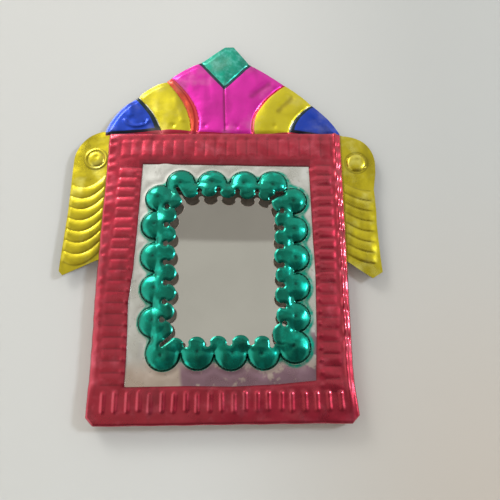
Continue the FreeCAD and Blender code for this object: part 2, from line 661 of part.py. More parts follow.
def flute_outline(sign, end, middle, reach):
    """A strip bent about (end, middle): level at its outer end, and climbing towards the wing's root."""
    edges = []
    for half in ("- Sizes.flute_width / 2", "+ Sizes.flute_width / 2"):
        radius = f"(Sizes.flute_bend_radius {half})"
        turns = [f"{step / FLUTE_STEPS} * asin({reach} / Sizes.flute_bend_radius)"
                 for step in range(FLUTE_STEPS + 1)]
        edges.append([(f"{end} - {sign} * {radius} * sin({angle})", f"{middle} - {radius} * cos({angle})")
                      for angle in turns])
    upper, lower = edges
    return upper[::-1] + lower if sign > 0 else upper + lower[::-1]


def make_clip_set():
    """Four bent tin tabs round the edges of the glass, one node of separate solids."""
    tabs = []
    half = "(Sizes.glass_width / 2 + Sizes.seat_clearance)"
    for sign in (-1, 1):
        for share in CLIP_SHARES:
            name = f"glass_clip_{len(tabs) + 1}"
            body = doc.addObject("PartDesign::Body", name)
            height = f"{BEZEL_MIDDLE_UP} + {share} * Sizes.glass_height - Sizes.clip_width / 2"
            sketch = new_sketch(body, f"{name}_profile", "XY_Plane", out=height)
            wall = f"{BEZEL_MIDDLE_ACROSS} + {sign} * {half}"
            gauge = f"{sign} * Sizes.tin_gauge"
            back = f"-({GLASS} - Sizes.tin_gauge)"
            profile = [(wall, f"-{GLASS}"), (f"{wall} - {sign} * Sizes.clip_lap", f"-{GLASS}"),
                       (f"{wall} - {sign} * Sizes.clip_lap", back), (f"{wall} + {gauge}", back),
                       (f"{wall} + {gauge}", f"-({PANEL} - Sizes.tin_gauge)"),
                       (f"{wall} + {sign} * Sizes.clip_foot", f"-({PANEL} - Sizes.tin_gauge)"),
                       (f"{wall} + {sign} * Sizes.clip_foot", f"-{PANEL}"), (wall, f"-{PANEL}")]
            draw_outline(sketch, profile)
            pad(body, sketch, "Sizes.clip_width")
            tabs.append(body)
    return group("glass_clips", tabs)


def group(name, pieces):
    """One node of several equal solids, set down at the origin's height."""
    bundle = doc.addObject("Part::Compound", name)
    bundle.Label = name
    bundle.Links = pieces
    bundle.setExpression(".Placement.Base.z", f"-{LIP_MIDDLE}")
    return bundle


def make_dab(name, length, across, out, up, facing):
    """A dab of solder in the corner of two faces, steep at its ends and sloping down to both faces."""
    dab = doc.addObject("Part::Wedge", name)
    for side, sign in (("min", "-"), ("max", "")):
        dab.setExpression(f"X{side}", f"{sign}{length} / 2")
        dab.setExpression(f"X2{side}", f"{sign}{length} / 2 * {DAB_CREST_SHARE}")
    dab.setExpression("Ymin", "0")
    dab.setExpression("Ymax", "Sizes.dab_height")
    dab.setExpression("Zmin", "-Sizes.dab_height")
    dab.setExpression("Z2min", f"-Sizes.dab_height * {DAB_CREST_SHARE}")
    dab.setExpression("Zmax", "0")
    dab.setExpression("Z2max", "0")
    dab.Placement = FreeCAD.Placement(Vector(), facing)
    dab.setExpression(".Placement.Base.x", across)
    dab.setExpression(".Placement.Base.y", out)
    dab.setExpression(".Placement.Base.z", up)
    return dab


UPRIGHT = FreeCAD.Rotation(Vector(1, 0, 0), 90)
FLANGE_BACK = "-(Sizes.crest_setback - Sizes.flange_depth)"


def make_crest_solder():
    """Dabs in the corner between the border's top wall and the crest's flange."""
    dabs = [make_dab(f"crest_dab_{number}", "Sizes.dab_length", f"{share} * Sizes.border_width",
                     FLANGE_BACK, "Sizes.border_height", UPRIGHT)
            for number, share in enumerate(CREST_DAB_SHARES, start=1)]
    return group("crest_solder", dabs)


def make_wing_solder():
    """Dabs in the corners between the border's side walls and the wings' flanges."""
    dabs = []
    for sign in (-1, 1):
        facing = FreeCAD.Rotation(Vector(0, 1, 0), sign * 90) * UPRIGHT
        for share in WING_DAB_SHARES:
            dabs.append(make_dab(
                f"wing_dab_{len(dabs) + 1}", "Sizes.dab_length", f"{sign} * Sizes.border_width / 2",
                FLANGE_BACK, f"Sizes.border_height - (1 - {share}) * Sizes.wing_drop", facing))
    return group("wing_solder", dabs)


STRAP_TIP = "(Sizes.strap_bore_radius + Sizes.tin_gauge + Sizes.strap_foot)"


def strap_axis():
    """Height and distance from the wall of the line that the ring turns about."""
    up = f"(Sizes.border_height + {STRAP_HEIGHT_SHARE} * Sizes.crest_rise)"
    out = "(Sizes.crest_setback - Sizes.wire_clearance - Sizes.wire_radius)"
    return out, up


def make_hanger_strap():
    """Strip of tin bent over the ring's wire, with a foot above and a foot below."""
    body = new_body("hanger_strap")
    out, up = strap_axis()
    sketch = new_sketch(body, "strap_profile", "YZ_Plane", out="-Sizes.strap_width / 2",
                        across=f"-{out}", up=up)
    seat = "-(Sizes.wire_clearance + Sizes.wire_radius)"
    inner = "Sizes.strap_bore_radius"
    outer = "(Sizes.strap_bore_radius + Sizes.tin_gauge)"
    foot = f"{seat} + Sizes.tin_gauge"
    draw_outline(sketch, [
        (seat, f"-{STRAP_TIP}"), (foot, f"-{STRAP_TIP}"), (foot, f"-{outer}"),
        ("0", f"-{outer}", outer, RIGHT), (outer, "0", outer, RIGHT), ("0", outer), (foot, outer),
        (foot, STRAP_TIP), (seat, STRAP_TIP), (seat, inner),
        ("0", inner, inner), (inner, "0", inner), ("0", f"-{inner}"), (seat, f"-{inner}")])
    pad(body, sketch, "Sizes.strap_width")
    return body


def make_hanger_solder():
    """A dab at the end of each of the strap's feet, on the back of the crest."""
    dabs = []
    for sign in (-1, 1):
        facing = FreeCAD.Rotation(Vector(0, 1, 0), 90 - sign * 90) * UPRIGHT
        dabs.append(make_dab(
            f"strap_dab_{len(dabs) + 1}", "Sizes.strap_dab_length", "0", "-Sizes.crest_setback",
            f"{strap_axis()[1]} + {sign} * {STRAP_TIP}", facing))
    return group("hanger_solder", dabs)


def make_hanger_ring():
    """Closed wire ring, hanging down from the strap."""
    body = new_body("hanger_ring")
    out, up = strap_axis()
    section = new_sketch(body, "ring_section", "YZ_Plane", across=f"-{out}", up=f"{up} - Sizes.ring_radius")
    draw_outline(section, many_sided("0", "Sizes.ring_radius", "Sizes.wire_radius", WIRE_SIDES))
    turn(body, section, "H_Axis")
    return body


def is_straight(edge):
    """Whether an edge runs straight between two ends."""
    ends = [vertex.Point for vertex in edge.Vertexes]
    return len(ends) == 2 and abs(edge.Length - ends[0].distanceToPoint(ends[1])) < STRAIGHTNESS


def on_true_planes(solid):
    """The solid with its flat faces on planes, because a tapered pad leaves them on splines."""
    faces = []
    for face in solid.Faces:
        if face.findPlane(FLATNESS) is None or not all(is_straight(edge) for edge in face.Edges):
            faces.append(face)
            continue
        loops = [face.OuterWire] + [wire for wire in face.Wires if not wire.isSame(face.OuterWire)]
        outlines = [[vertex.Point for vertex in loop.OrderedVertexes] for loop in loops]
        faces.append(Part.Face([Part.makePolygon(points + points[:1]) for points in outlines]))
    shell = Part.makeShell(faces)
    shell.sewShape(SEAM)
    flat = Part.Solid(shell.Shells[0])
    if flat.Volume < 0:
        flat.reverse()
    if not flat.isValid() or abs(flat.Volume - solid.Volume) > VOLUME_DRIFT * solid.Volume:
        raise RuntimeError("a solid changed when its faces were set on planes")
    return flat


def check_and_write(pieces):
    """Stop on any failed object or shape, then write one file for each piece."""
    doc.recompute()
    for item in doc.Objects:
        if "Invalid" in item.State or "Error" in item.State:
            raise RuntimeError(f"{item.Name} failed: {item.State}")
    for piece in pieces:
        if piece.Shape.isNull() or not piece.Shape.isValid() or not piece.Shape.Solids:
            raise RuntimeError(f"{piece.Label} has no valid solid")
    os.makedirs("parts", exist_ok=True)
    for piece in pieces:
        solids = [on_true_planes(solid) for solid in piece.Shape.Solids]
        whole = solids[0] if len(solids) == 1 else Part.makeCompound(solids)
        whole.exportStep(f"parts/{piece.Label}.step")
        print(piece.Label, len(solids), round(whole.Volume, 1))


def main():
    """Build every piece from the front to the back, then the hanger."""
    pieces = [make_ribbed_border()]
    pieces.append(make_flat_sheet(
        "mirror_panel", PANEL, "Sizes.tin_gauge", clipped_sheet("Sizes.fold_radius + Sizes.seat_clearance"),
        rectangle("Sizes.glass_width - 2 * Sizes.glass_lap", "Sizes.glass_height - 2 * Sizes.glass_lap",
                  BEZEL_MIDDLE_ACROSS, BEZEL_MIDDLE_UP)))
    pieces.append(make_scalloped_bezel())
    pieces.append(make_crest())
    pieces.append(make_wing("left", -1))
    pieces.append(make_wing("right", 1))
    pieces.append(make_flat_sheet(
        "mirror_glass", GLASS, "Sizes.glass_thickness",
        rectangle("Sizes.glass_width", "Sizes.glass_height", BEZEL_MIDDLE_ACROSS, BEZEL_MIDDLE_UP)))
    pieces.append(make_clip_set())
    pieces.append(make_flat_sheet(
        "packing_card", CARD, "Sizes.card_thickness",
        clipped_sheet("Sizes.lip_fold_radius + Sizes.seat_clearance")))
    pieces.append(make_flat_sheet(
        "back_sheet", BACK_SHEET, "Sizes.tin_gauge",
        clipped_sheet("Sizes.lip_fold_radius + Sizes.seat_clearance")))
    pieces.append(make_crest_solder())
    pieces.append(make_wing_solder())
    pieces.append(make_hanger_strap())
    pieces.append(make_hanger_solder())
    pieces.append(make_hanger_ring())
    check_and_write(pieces)


main()
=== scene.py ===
import logging
import math
from dataclasses import dataclass
from enum import Enum
from typing import Callable

import bpy
import numpy as np
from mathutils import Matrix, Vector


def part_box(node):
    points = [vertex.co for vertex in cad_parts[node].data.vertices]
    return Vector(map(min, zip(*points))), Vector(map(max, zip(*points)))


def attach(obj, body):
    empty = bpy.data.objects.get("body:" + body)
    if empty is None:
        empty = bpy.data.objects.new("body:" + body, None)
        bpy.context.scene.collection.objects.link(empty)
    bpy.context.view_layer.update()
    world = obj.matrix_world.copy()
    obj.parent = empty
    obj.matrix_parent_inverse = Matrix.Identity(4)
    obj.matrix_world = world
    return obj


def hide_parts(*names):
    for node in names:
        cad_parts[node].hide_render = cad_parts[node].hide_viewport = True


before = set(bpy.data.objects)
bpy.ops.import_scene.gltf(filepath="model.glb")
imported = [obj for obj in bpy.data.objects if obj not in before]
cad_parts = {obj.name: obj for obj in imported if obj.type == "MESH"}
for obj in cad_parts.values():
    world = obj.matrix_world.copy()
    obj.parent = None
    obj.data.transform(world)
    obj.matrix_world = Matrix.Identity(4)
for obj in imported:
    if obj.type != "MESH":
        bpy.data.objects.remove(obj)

# A small wall mirror of struck and lacquered tinwork. Its pieces are drawn in millimetres: across from the
# middle of the border, out from the wall, and up from the border's lower edge. Each is then brought to
# metres and set down where the construction has it.
METRES = 0.001
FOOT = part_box("ribbed_border")[0].z
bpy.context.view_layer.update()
NUDGE = 0.02
FAR = 1e6
TINY = 1e-6
LOG = logging.getLogger("tin_mirror")

Field = Callable[[np.ndarray, np.ndarray], np.ndarray]
Colour = tuple[float, float, float, float]
Place = tuple[float, float]


def paint(red: int, green: int, blue: int) -> Colour:
    """Turn a colour as it is seen on a screen into the linear colour of a shader.

    Args:
        red: Red from 0 to 255.
        green: Green from 0 to 255.
        blue: Blue from 0 to 255.

    Returns:
        The linear colour with full opacity.
    """
    return tuple(((part / 255 + 0.055) / 1.055) ** 2.4 for part in (red, green, blue)) + (1.0,)


class Stack(Enum):
    """Distances from the wall to the faces of the sheets, in millimetres."""

    SILVERING = 2.6
    CREST = 2.9
    GLASS = 4.5
    PANEL = 4.9
    BORDER = 5.3


def soft_min(first: np.ndarray, second: np.ndarray, blend: float) -> np.ndarray:
    """Join two distance fields with a rounded fillet between them.

    Args:
        first: Distances to the first shape.
        second: Distances to the second shape.
        blend: Width of the fillet in millimetres, or zero for a sharp corner.

    Returns:
        Distances to the joined shape.
    """
    if blend <= 0:
        return np.minimum(first, second)
    near = np.clip(blend - np.abs(first - second), 0, None) / blend
    return np.minimum(first, second) - near ** 2 * blend / 4


def discs(places: tuple[Place, ...], radius: float) -> Field:
    """Distance to the nearest of several equal discs, negative inside them."""
    def measure(x: np.ndarray, z: np.ndarray) -> np.ndarray:
        """Distance at each point."""
        nearest = np.full(np.shape(x), FAR)
        for across, up in places:
            nearest = np.minimum(nearest, np.hypot(x - across, z - up) - radius)
        return nearest
    return measure


def rectangle(low: Place, high: Place) -> Field:
    """Distance to an upright rectangle, negative inside it."""
    def measure(x: np.ndarray, z: np.ndarray) -> np.ndarray:
        """Distance at each point."""
        beyond_x = np.abs(x - (low[0] + high[0]) / 2) - (high[0] - low[0]) / 2
        beyond_z = np.abs(z - (low[1] + high[1]) / 2) - (high[1] - low[1]) / 2
        outside = np.hypot(np.maximum(beyond_x, 0), np.maximum(beyond_z, 0))
        return outside + np.minimum(np.maximum(beyond_x, beyond_z), 0)
    return measure


def plate(corners: tuple[Place, ...]) -> Field:
    """Distance to a plate with straight sides, negative inside it."""
    ends = corners[1:] + corners[:1]

    def measure(x: np.ndarray, z: np.ndarray) -> np.ndarray:
        """Distance at each point."""
        nearest = np.full(np.shape(x), FAR)
        inside = np.zeros(np.shape(x), bool)
        for (start_x, start_z), (end_x, end_z) in zip(corners, ends):
            run, rise = end_x - start_x, end_z - start_z
            share = np.clip(((x - start_x) * run + (z - start_z) * rise) / (run ** 2 + rise ** 2), 0, 1)
            nearest = np.minimum(nearest, np.hypot(x - start_x - share * run, z - start_z - share * rise))
            if rise:
                passes = (start_z > z) != (end_z > z)
                inside ^= passes & (x < start_x + (z - start_z) * run / rise)
        return np.where(inside, -nearest, nearest)
    return measure


def slot(start: Place, end: Place, radius: float) -> Field:
    """Distance to a slot with round ends, negative inside it."""
    run, rise = end[0] - start[0], end[1] - start[1]

    def measure(x: np.ndarray, z: np.ndarray) -> np.ndarray:
        """Distance at each point."""
        share = np.clip(((x - start[0]) * run + (z - start[1]) * rise) / (run ** 2 + rise ** 2), 0, 1)
        return np.hypot(x - start[0] - share * run, z - start[1] - share * rise) - radius
    return measure


def rounded(corners: tuple[tuple[float, ...], ...], step: float = 0.8) -> tuple[Place, ...]:
    """Spell out an outline whose corners may start an arc.

    Args:
        corners: (across, up), or (across, up, radius) where the side that follows is an arc that bulges to
            the left of the way round.
        step: Length of the flats that an arc is made of, in millimetres.

    Returns:
        The outline's points.
    """
    points = []
    for corner, following in zip(corners, corners[1:] + corners[:1]):
        points.append((corner[0], corner[1]))
        if len(corner) < 3:
            continue
        run, rise = following[0] - corner[0], following[1] - corner[1]
        chord, radius = math.hypot(run, rise), corner[2]
        deep = radius - math.sqrt(radius ** 2 - chord ** 2 / 4)
        count = max(2, round(chord / step))
        for number in range(1, count):
            share = number / count
            along = (share - 0.5) * chord
            out = math.sqrt(radius ** 2 - along ** 2) - (radius - deep)
            points.append((corner[0] + share * run - rise / chord * out,
                           corner[1] + share * rise + run / chord * out))
    return tuple(points)


def shoulder(depth: np.ndarray, reach: float) -> np.ndarray:
    """Rise of a rounded shoulder from 0 at its foot to 1 at `reach` millimetres from it."""
    return np.sqrt(1 - (1 - np.clip(depth / reach, 0, 1)) ** 2)


def ease(depth: np.ndarray, reach: float) -> np.ndarray:
    """Rise from 0 to 1 that starts and ends gently."""
    share = np.clip(depth / reach, 0, 1)
    return share * share * (3 - 2 * share)


def soft_line(distance: np.ndarray, width: float) -> np.ndarray:
    """A soft ridge of height 1 that runs where a distance is zero."""
    return np.exp(-(distance / width) ** 2)


def stroke(x: np.ndarray, z: np.ndarray, start: Place, end: Place, width: float) -> np.ndarray:
    """A soft ridge of height 1 along one line, that fades out within `width` millimetres."""
    return soft_line(np.maximum(slot(start, end, 0.2)(x, z), 0), width)


def mound(x: np.ndarray, z: np.ndarray, across: float, up: float, radius: float) -> np.ndarray:
    """A soft round bump of height 1."""
    return np.exp(-((x - across) ** 2 + (z - up) ** 2) / radius ** 2)


def ripple(x: np.ndarray, z: np.ndarray, length: float, seed: int) -> np.ndarray:
    """Slow unevenness of a sheet that was worked by hand.

    Args:
        x: Places across.
        z: Places up.
        length: Usual distance between two swells, in millimetres.
        seed: Which of many patterns to use.

    Returns:
        A height between about -1 and 1.
    """
    chance = np.random.default_rng(seed)
    total = np.zeros(np.shape(x))
    waves = 7
    for _ in range(waves):
        turn, phase = chance.uniform(0, math.tau, 2)
        rate = math.tau / (length * chance.uniform(0.7, 1.6))
        total += np.sin((x * math.cos(turn) + z * math.sin(turn)) * rate + phase)
    return total / math.sqrt(waves)


def deselect() -> None:
    """Leave nothing selected."""
    bpy.ops.object.select_all(action="DESELECT")


def pick(piece: bpy.types.Object) -> None:
    """Make one piece the only selected and the active one."""
    deselect()
    piece.select_set(True)
    bpy.context.view_layer.objects.active = piece


def edit(piece: bpy.types.Object, faces: np.ndarray | None = None, edges: np.ndarray | None = None) -> None:
    """Enter edit mode with only the given faces or edges selected."""
    pick(piece)
    mesh = piece.data
    mesh.vertices.foreach_set("select", np.zeros(len(mesh.vertices), bool))
    mesh.edges.foreach_set("select", np.zeros(len(mesh.edges), bool) if edges is None else edges)
    mesh.polygons.foreach_set("select", np.zeros(len(mesh.polygons), bool) if faces is None else faces)
    bpy.context.tool_settings.mesh_select_mode = (False, edges is not None, edges is None)
    bpy.ops.object.mode_set(mode="EDIT")


def leave() -> None:
    """Go back to object mode."""
    bpy.ops.object.mode_set(mode="OBJECT")


class Blank:
    """A flat piece of tin that is cut out, creased and struck, drawn in millimetres."""

    crease_share = 0.45
    near_share = 0.3
    least_steep = 0.25
    passes = 3

    def __init__(self, name: str, low: Place, high: Place, spacing: float) -> None:
        """Lay the blank down upright.

        Args:
            name: Name of the piece.
            low: Its lower left corner.
            high: Its upper right corner.
            spacing: Size of the squares that it bends in.
        """
        deselect()
        width, height = high[0] - low[0], high[1] - low[1]
        bpy.ops.mesh.primitive_grid_add(
            x_subdivisions=round(width / spacing), y_subdivisions=round(height / spacing), size=1,
            location=((low[0] + high[0]) / 2, 0, (low[1] + high[1]) / 2), rotation=(math.pi / 2, 0, 0))
        self.piece = bpy.context.object
        self.piece.name = name
        self.piece.data.name = name
        self.piece.scale = (width, height, 1)
        bpy.ops.object.transform_apply(location=True, rotation=True, scale=True)
        self.spacing = spacing

    def places(self) -> np.ndarray:
        """Places of all points, one row each."""
        mesh = self.piece.data
        values = np.empty(len(mesh.vertices) * 3)
        mesh.vertices.foreach_get("co", values)
        return values.reshape(-1, 3)

    def move(self, places: np.ndarray) -> None:
        """Put all points where `places` says."""
        self.piece.data.vertices.foreach_set("co", places.ravel())
        self.piece.data.update()

    def edges(self) -> tuple[np.ndarray, np.ndarray]:
        """Both ends of each edge, and which edges are open."""
        mesh = self.piece.data
        used = np.empty(len(mesh.loops), np.int32)
        mesh.loops.foreach_get("edge_index", used)
        ends = np.empty(len(mesh.edges) * 2, np.int32)
        mesh.edges.foreach_get("vertices", ends)
        return ends.reshape(-1, 2), np.bincount(used, minlength=len(mesh.edges)) == 1

    def rim(self) -> np.ndarray:
        """Which points lie on an open edge."""
        ends, lone = self.edges()
        chosen = np.zeros(len(self.piece.data.vertices), bool)
        chosen[ends[lone].ravel()] = True
        return chosen

    def cut(self, outline: Field) -> None:
        """Snip away what lies outside an outline, and true up the edge that is left."""
        mesh = self.piece.data
        middles = np.empty(len(mesh.polygons) * 3)
        mesh.polygons.foreach_get("center", middles)
        middles = middles.reshape(-1, 3)
        edit(self.piece, faces=outline(middles[:, 0], middles[:, 2]) > 0)
        bpy.ops.mesh.delete(type="FACE")
        leave()
        self.draw_to(outline, self.rim(), 1.0)

    def draw_to(self, line: Field, chosen: np.ndarray, most: float) -> None:
        """Slide points within the sheet to where a field is zero.

        Args:
            line: The field.
            chosen: Which points may slide.
            most: Longest slide, as a share of the spacing.
        """
        places = self.places()
        x, z = places[chosen, 0], places[chosen, 2]
        start_x, start_z = x.copy(), z.copy()
        for _ in range(self.passes):
            away = line(x, z)
            slope_x = (line(x + NUDGE, z) - line(x - NUDGE, z)) / (2 * NUDGE)
            slope_z = (line(x, z + NUDGE) - line(x, z - NUDGE)) / (2 * NUDGE)
            steep = np.maximum(slope_x ** 2 + slope_z ** 2, self.least_steep)
            x, z = x - away * slope_x / steep, z - away * slope_z / steep
        slide = np.hypot(x - start_x, z - start_z)
        share = np.minimum(1, most * self.spacing / np.maximum(slide, TINY))
        places[chosen, 0] = start_x + (x - start_x) * share
        places[chosen, 2] = start_z + (z - start_z) * share
        self.move(places)

    def crease(self, line: Field) -> None:
        """Bring the points beside a line onto it, so that a fold along it is crisp."""
        places = self.places()
        close = np.abs(line(places[:, 0], places[:, 2])) < self.spacing * self.crease_share
        self.draw_to(line, close & ~self.rim(), self.crease_share)

    def strike(self, out: Field) -> None:
        """Push each point to its distance from the wall."""
        places = self.places()
        places[:, 1] = -out(places[:, 0], places[:, 2])
        self.move(places)

    def mark(self, name: str, values: np.ndarray) -> None:
        """Keep a number for each point, for the finish to read."""
        layer = self.piece.data.attributes.new(name, "FLOAT", "POINT")
        layer.data.foreach_set("value", values.astype(np.float32))

    def fold_flange(self, line: Field, depth: float) -> None:
        """Turn the rim along a line back towards the wall."""
        places = self.places()
        near = self.rim() & (np.abs(line(places[:, 0], places[:, 2])) < self.spacing * self.near_share)
        ends, lone = self.edges()
        edit(self.piece, edges=near[ends].all(axis=1) & lone)
        bpy.ops.mesh.extrude_edges_move(TRANSFORM_OT_translate={"value": (0, depth, 0)})
        leave()

    def thicken(self, gauge: float, front: bpy.types.Material, back: bpy.types.Material) -> bpy.types.Object:
        """Give the sheet its gauge, towards the wall, and its two finishes.

        Args:
            gauge: Thickness of the tin.
            front: Finish of its face.
            back: Finish of its back and its rim.

        Returns:
            The piece.
        """
        self.piece.data.materials.append(front)
        self.piece.data.materials.append(back)
        pick(self.piece)
        modifier = self.piece.modifiers.new("gauge", "SOLIDIFY")
        modifier.thickness = gauge
        modifier.offset = -1
        modifier.use_even_offset = False
        modifier.material_offset = 1
        modifier.material_offset_rim = 1
        bpy.ops.object.modifier_apply(modifier=modifier.name)
        return self.piece


def set_down(piece: bpy.types.Object, nodes: tuple[str, ...] = (),
             body: str = "root", crease: float = 40.0) -> bpy.types.Object:
    """Bring a finished piece from millimetres to its place on the mirror.

    Args:
        piece: The piece, drawn in millimetres.
        nodes: Construction nodes that it stands for.
        body: Body that it moves with.
        crease: Angle in degrees above which an edge stays sharp.

    Returns:
        The piece.
    """
    pick(piece)
    piece.scale = (METRES,) * 3
    piece.location.z = FOOT
    bpy.ops.object.transform_apply(location=True, rotation=True, scale=True)
    bpy.ops.object.shade_smooth_by_angle(angle=math.radians(crease))
    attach(piece, body)
    if nodes:
        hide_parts(*nodes)
    return piece


class Bench:
    """Lays out the nodes of one finish or one shared effect."""

    def __init__(self, tree: bpy.types.NodeTree) -> None:
        """Work on one node tree."""
        self.tree = tree

    def add(self, kind: str, **settings: object) -> bpy.types.Node:
        """Add a node and set its own settings."""
        node = self.tree.nodes.new(kind)
        for name, value in settings.items():
            setattr(node, name, value)
        return node

    def feed(self, socket: bpy.types.NodeSocket, value: object) -> None:
        """Link a socket, or set its number or colour."""
        if isinstance(value, bpy.types.NodeSocket):
            self.tree.links.new(value, socket)
        else:
            socket.default_value = value

    def math(self, operation: str, first: object, second: object = 0.0, third: object = 0.0,
             clamp: bool = False) -> bpy.types.NodeSocket:
        """One sum on one, two or three values."""
        node = self.add("ShaderNodeMath", operation=operation, use_clamp=clamp)
        for socket, value in zip(node.inputs, (first, second, third)):
            self.feed(socket, value)
        return node.outputs[0]

    def mix(self, share: object, first: object, second: object,
            blend: str = "MIX") -> bpy.types.NodeSocket:
        """Mix two colours."""
        node = self.add("ShaderNodeMix", data_type="RGBA", blend_type=blend)
        for index, value in ((0, share), (6, first), (7, second)):
            self.feed(node.inputs[index], value)
        return node.outputs[2]

    def noise(self, vector: object, scale: object, detail: float = 2.0,
              rough: float = 0.5) -> bpy.types.NodeSocket:
        """A cloudy pattern between 0 and 1."""
        node = self.add("ShaderNodeTexNoise")
        self.feed(node.inputs["Vector"], vector)
        self.feed(node.inputs["Scale"], scale)
        node.inputs["Detail"].default_value = detail
        node.inputs["Roughness"].default_value = rough
        return node.outputs["Fac"]

    def span(self, value: object, low: float, high: float, start: float = 0.0,
             end: float = 1.0) -> bpy.types.NodeSocket:
        """Spread a value from low...high to start...end, smoothly and no further."""
        node = self.add("ShaderNodeMapRange", interpolation_type="SMOOTHSTEP", clamp=True)
        for socket, number in zip(node.inputs, (value, low, high, start, end)):
            self.feed(socket, number)
        return node.outputs[0]

    def group(self, tree: bpy.types.NodeTree, **values: object) -> bpy.types.Node:
        """Place a shared effect; an underscore stands for a blank in its inputs' names."""
        node = self.add("ShaderNodeGroup", node_tree=tree)
        for name, value in values.items():
            self.feed(node.inputs[name.replace("_", " ")], value)
        return node

    def stretched(self, vector: object, scale: tuple[float, float, float]) -> bpy.types.NodeSocket:
        """Stretch a pattern's space."""
        node = self.add("ShaderNodeMapping")
        self.feed(node.inputs["Vector"], vector)
        node.inputs["Scale"].default_value = scale
        return node.outputs[0]

    def parts(self, vector: bpy.types.NodeSocket) -> bpy.types.NodeOutputs:
        """The three parts of a place or a direction, by the names X, Y and Z."""
        node = self.add("ShaderNodeSeparateXYZ")
        self.feed(node.inputs[0], vector)
        return node.outputs

    def smudged(self, shader: bpy.types.Node, vector: bpy.types.NodeSocket, scale: float, low: float,
                high: float) -> None:
        """Give a shader a roughness with finger marks in it, from low to high."""
        smudge = self.group(EFFECTS.smudge, Vector=vector, Scale=scale, Low=low, High=high)
        self.feed(shader.inputs["Roughness"], smudge.outputs["Value"])

    def blended(self, material: bpy.types.Material, share: bpy.types.NodeSocket, first: bpy.types.Node,
                second: bpy.types.Node) -> None:
        """Show one shader or another, by a share from 0 to 1."""
        both = self.add("ShaderNodeMixShader")
        for socket, value in zip(both.inputs, (share, first.outputs[0], second.outputs[0])):
            self.feed(socket, value)
        self.feed(material.node_tree.nodes["Material Output"].inputs["Surface"], both.outputs[0])

    def attribute(self, name: str) -> bpy.types.NodeSocket:
        """The number that was kept on the sheet under a name."""
        return self.add("ShaderNodeAttribute", attribute_name=name).outputs["Fac"]


def new_group(name: str, inputs: dict[str, str], outputs: dict[str, str]) -> tuple[Bench, dict, dict]:
    """Start a shared effect.

    Args:
        name: Name of the group.
        inputs: Kind of socket for each input name.
        outputs: Kind of socket for each output name.

    Returns:
        Its bench, its inputs' sockets by name, and its outputs' sockets by name.
    """
    tree = bpy.data.node_groups.new(name, "ShaderNodeTree")
    for direction, sockets in (("INPUT", inputs), ("OUTPUT", outputs)):
        for label, kind in sockets.items():
            tree.interface.new_socket(label, in_out=direction, socket_type=kind)
    bench = Bench(tree)
    entry, leaving = bench.add("NodeGroupInput"), bench.add("NodeGroupOutput")
    return (bench, {label: entry.outputs[label] for label in inputs},
            {label: leaving.inputs[label] for label in outputs})


NUMBER, COLOUR, VECTOR = "NodeSocketFloat", "NodeSocketColor", "NodeSocketVector"


class Effects:
    """The shared effects that the finishes are put together from."""

    def __init__(self) -> None:
        """Build each effect once."""
        self.relief = self.make_relief()
        self.lacquer = self.make_lacquer()
        self.smudge = self.make_smudge()
        self.bow = self.make_bow()

    def make_relief(self) -> bpy.types.NodeTree:
        """Slow waves and fine scratches in the surface of hand-worked tin."""
        bench, entry, leaving = new_group(
            "hand_worked_tin", {"Vector": VECTOR, "Wave": NUMBER, "Wave Height": NUMBER,
                                "Scratch Height": NUMBER}, {"Height": NUMBER})
        wave = bench.noise(entry["Vector"], entry["Wave"], detail=1.5)
        across = bench.noise(bench.stretched(entry["Vector"], (260, 260, 4200)), 1.0, detail=3)
        along = bench.noise(bench.stretched(entry["Vector"], (3600, 900, 300)), 1.0, detail=3)
        scratch = bench.math("MULTIPLY", bench.math("ADD", across, along), entry["Scratch Height"])
        total = bench.math("MULTIPLY_ADD", wave, entry["Wave Height"], scratch)
        bench.feed(leaving["Height"], total)
        return bench.tree

    def make_lacquer(self) -> bpy.types.NodeTree:
        """Translucent lacquer: deeper in streaks, thinner in brushed patches, and darkened by pooled lacquer
        and painted shade.
        """
        bench, entry, leaving = new_group(
            "pooled_lacquer_and_painted_shade", {"Vector": VECTOR, "Thin": COLOUR, "Body": COLOUR, "Deep": COLOUR,
                               "Patch": NUMBER, "Pool": NUMBER}, {"Color": COLOUR})
        cloud = bench.noise(entry["Vector"], entry["Patch"], detail=3)
        streak = bench.noise(bench.stretched(entry["Vector"], (1.0, 1.0, 0.35)), entry["Patch"], detail=2)
        thin = bench.span(cloud, 0.5, 0.78)
        deep = bench.span(streak, 0.5, 0.8, 0.0, 0.45)
        base = bench.mix(thin, entry["Body"], entry["Thin"])
        base = bench.mix(deep, base, entry["Deep"])
        # This share mixes in the deep colour: pooled lacquer, and painted shade in creases and hollows.
        pool_shade = bench.math("MULTIPLY", entry["Pool"], 1.0, clamp=True)
        bench.feed(leaving["Color"], bench.mix(pool_shade, base, entry["Deep"]))
        return bench.tree

    def make_smudge(self) -> bpy.types.NodeTree:
        """Finger marks and a dull bloom on the surface."""
        bench, entry, leaving = new_group(
            "smudges", {"Vector": VECTOR, "Scale": NUMBER, "Low": NUMBER, "High": NUMBER},
            {"Value": NUMBER})
        cloud = bench.noise(entry["Vector"], entry["Scale"], detail=4, rough=0.6)
        share = bench.span(cloud, 0.35, 0.7)
        gap = bench.math("SUBTRACT", entry["High"], entry["Low"])
        bench.feed(leaving["Value"], bench.math("MULTIPLY_ADD", share, gap, entry["Low"]))
        return bench.tree

    def make_bow(self) -> bpy.types.NodeTree:
        """Distance in millimetres to the right of a bowed line, across = a + b up + c up squared."""
        bench, entry, leaving = new_group(
            "bowed_line", {"Across": NUMBER, "Up": NUMBER, "Start": NUMBER, "Slope": NUMBER,
                           "Bend": NUMBER}, {"Distance": NUMBER})
        curve = bench.math("MULTIPLY_ADD", entry["Bend"], entry["Up"], entry["Slope"])
        place = bench.math("MULTIPLY_ADD", curve, entry["Up"], entry["Start"])
        bench.feed(leaving["Distance"], bench.math("SUBTRACT", entry["Across"], place))
        return bench.tree


EFFECTS = Effects()


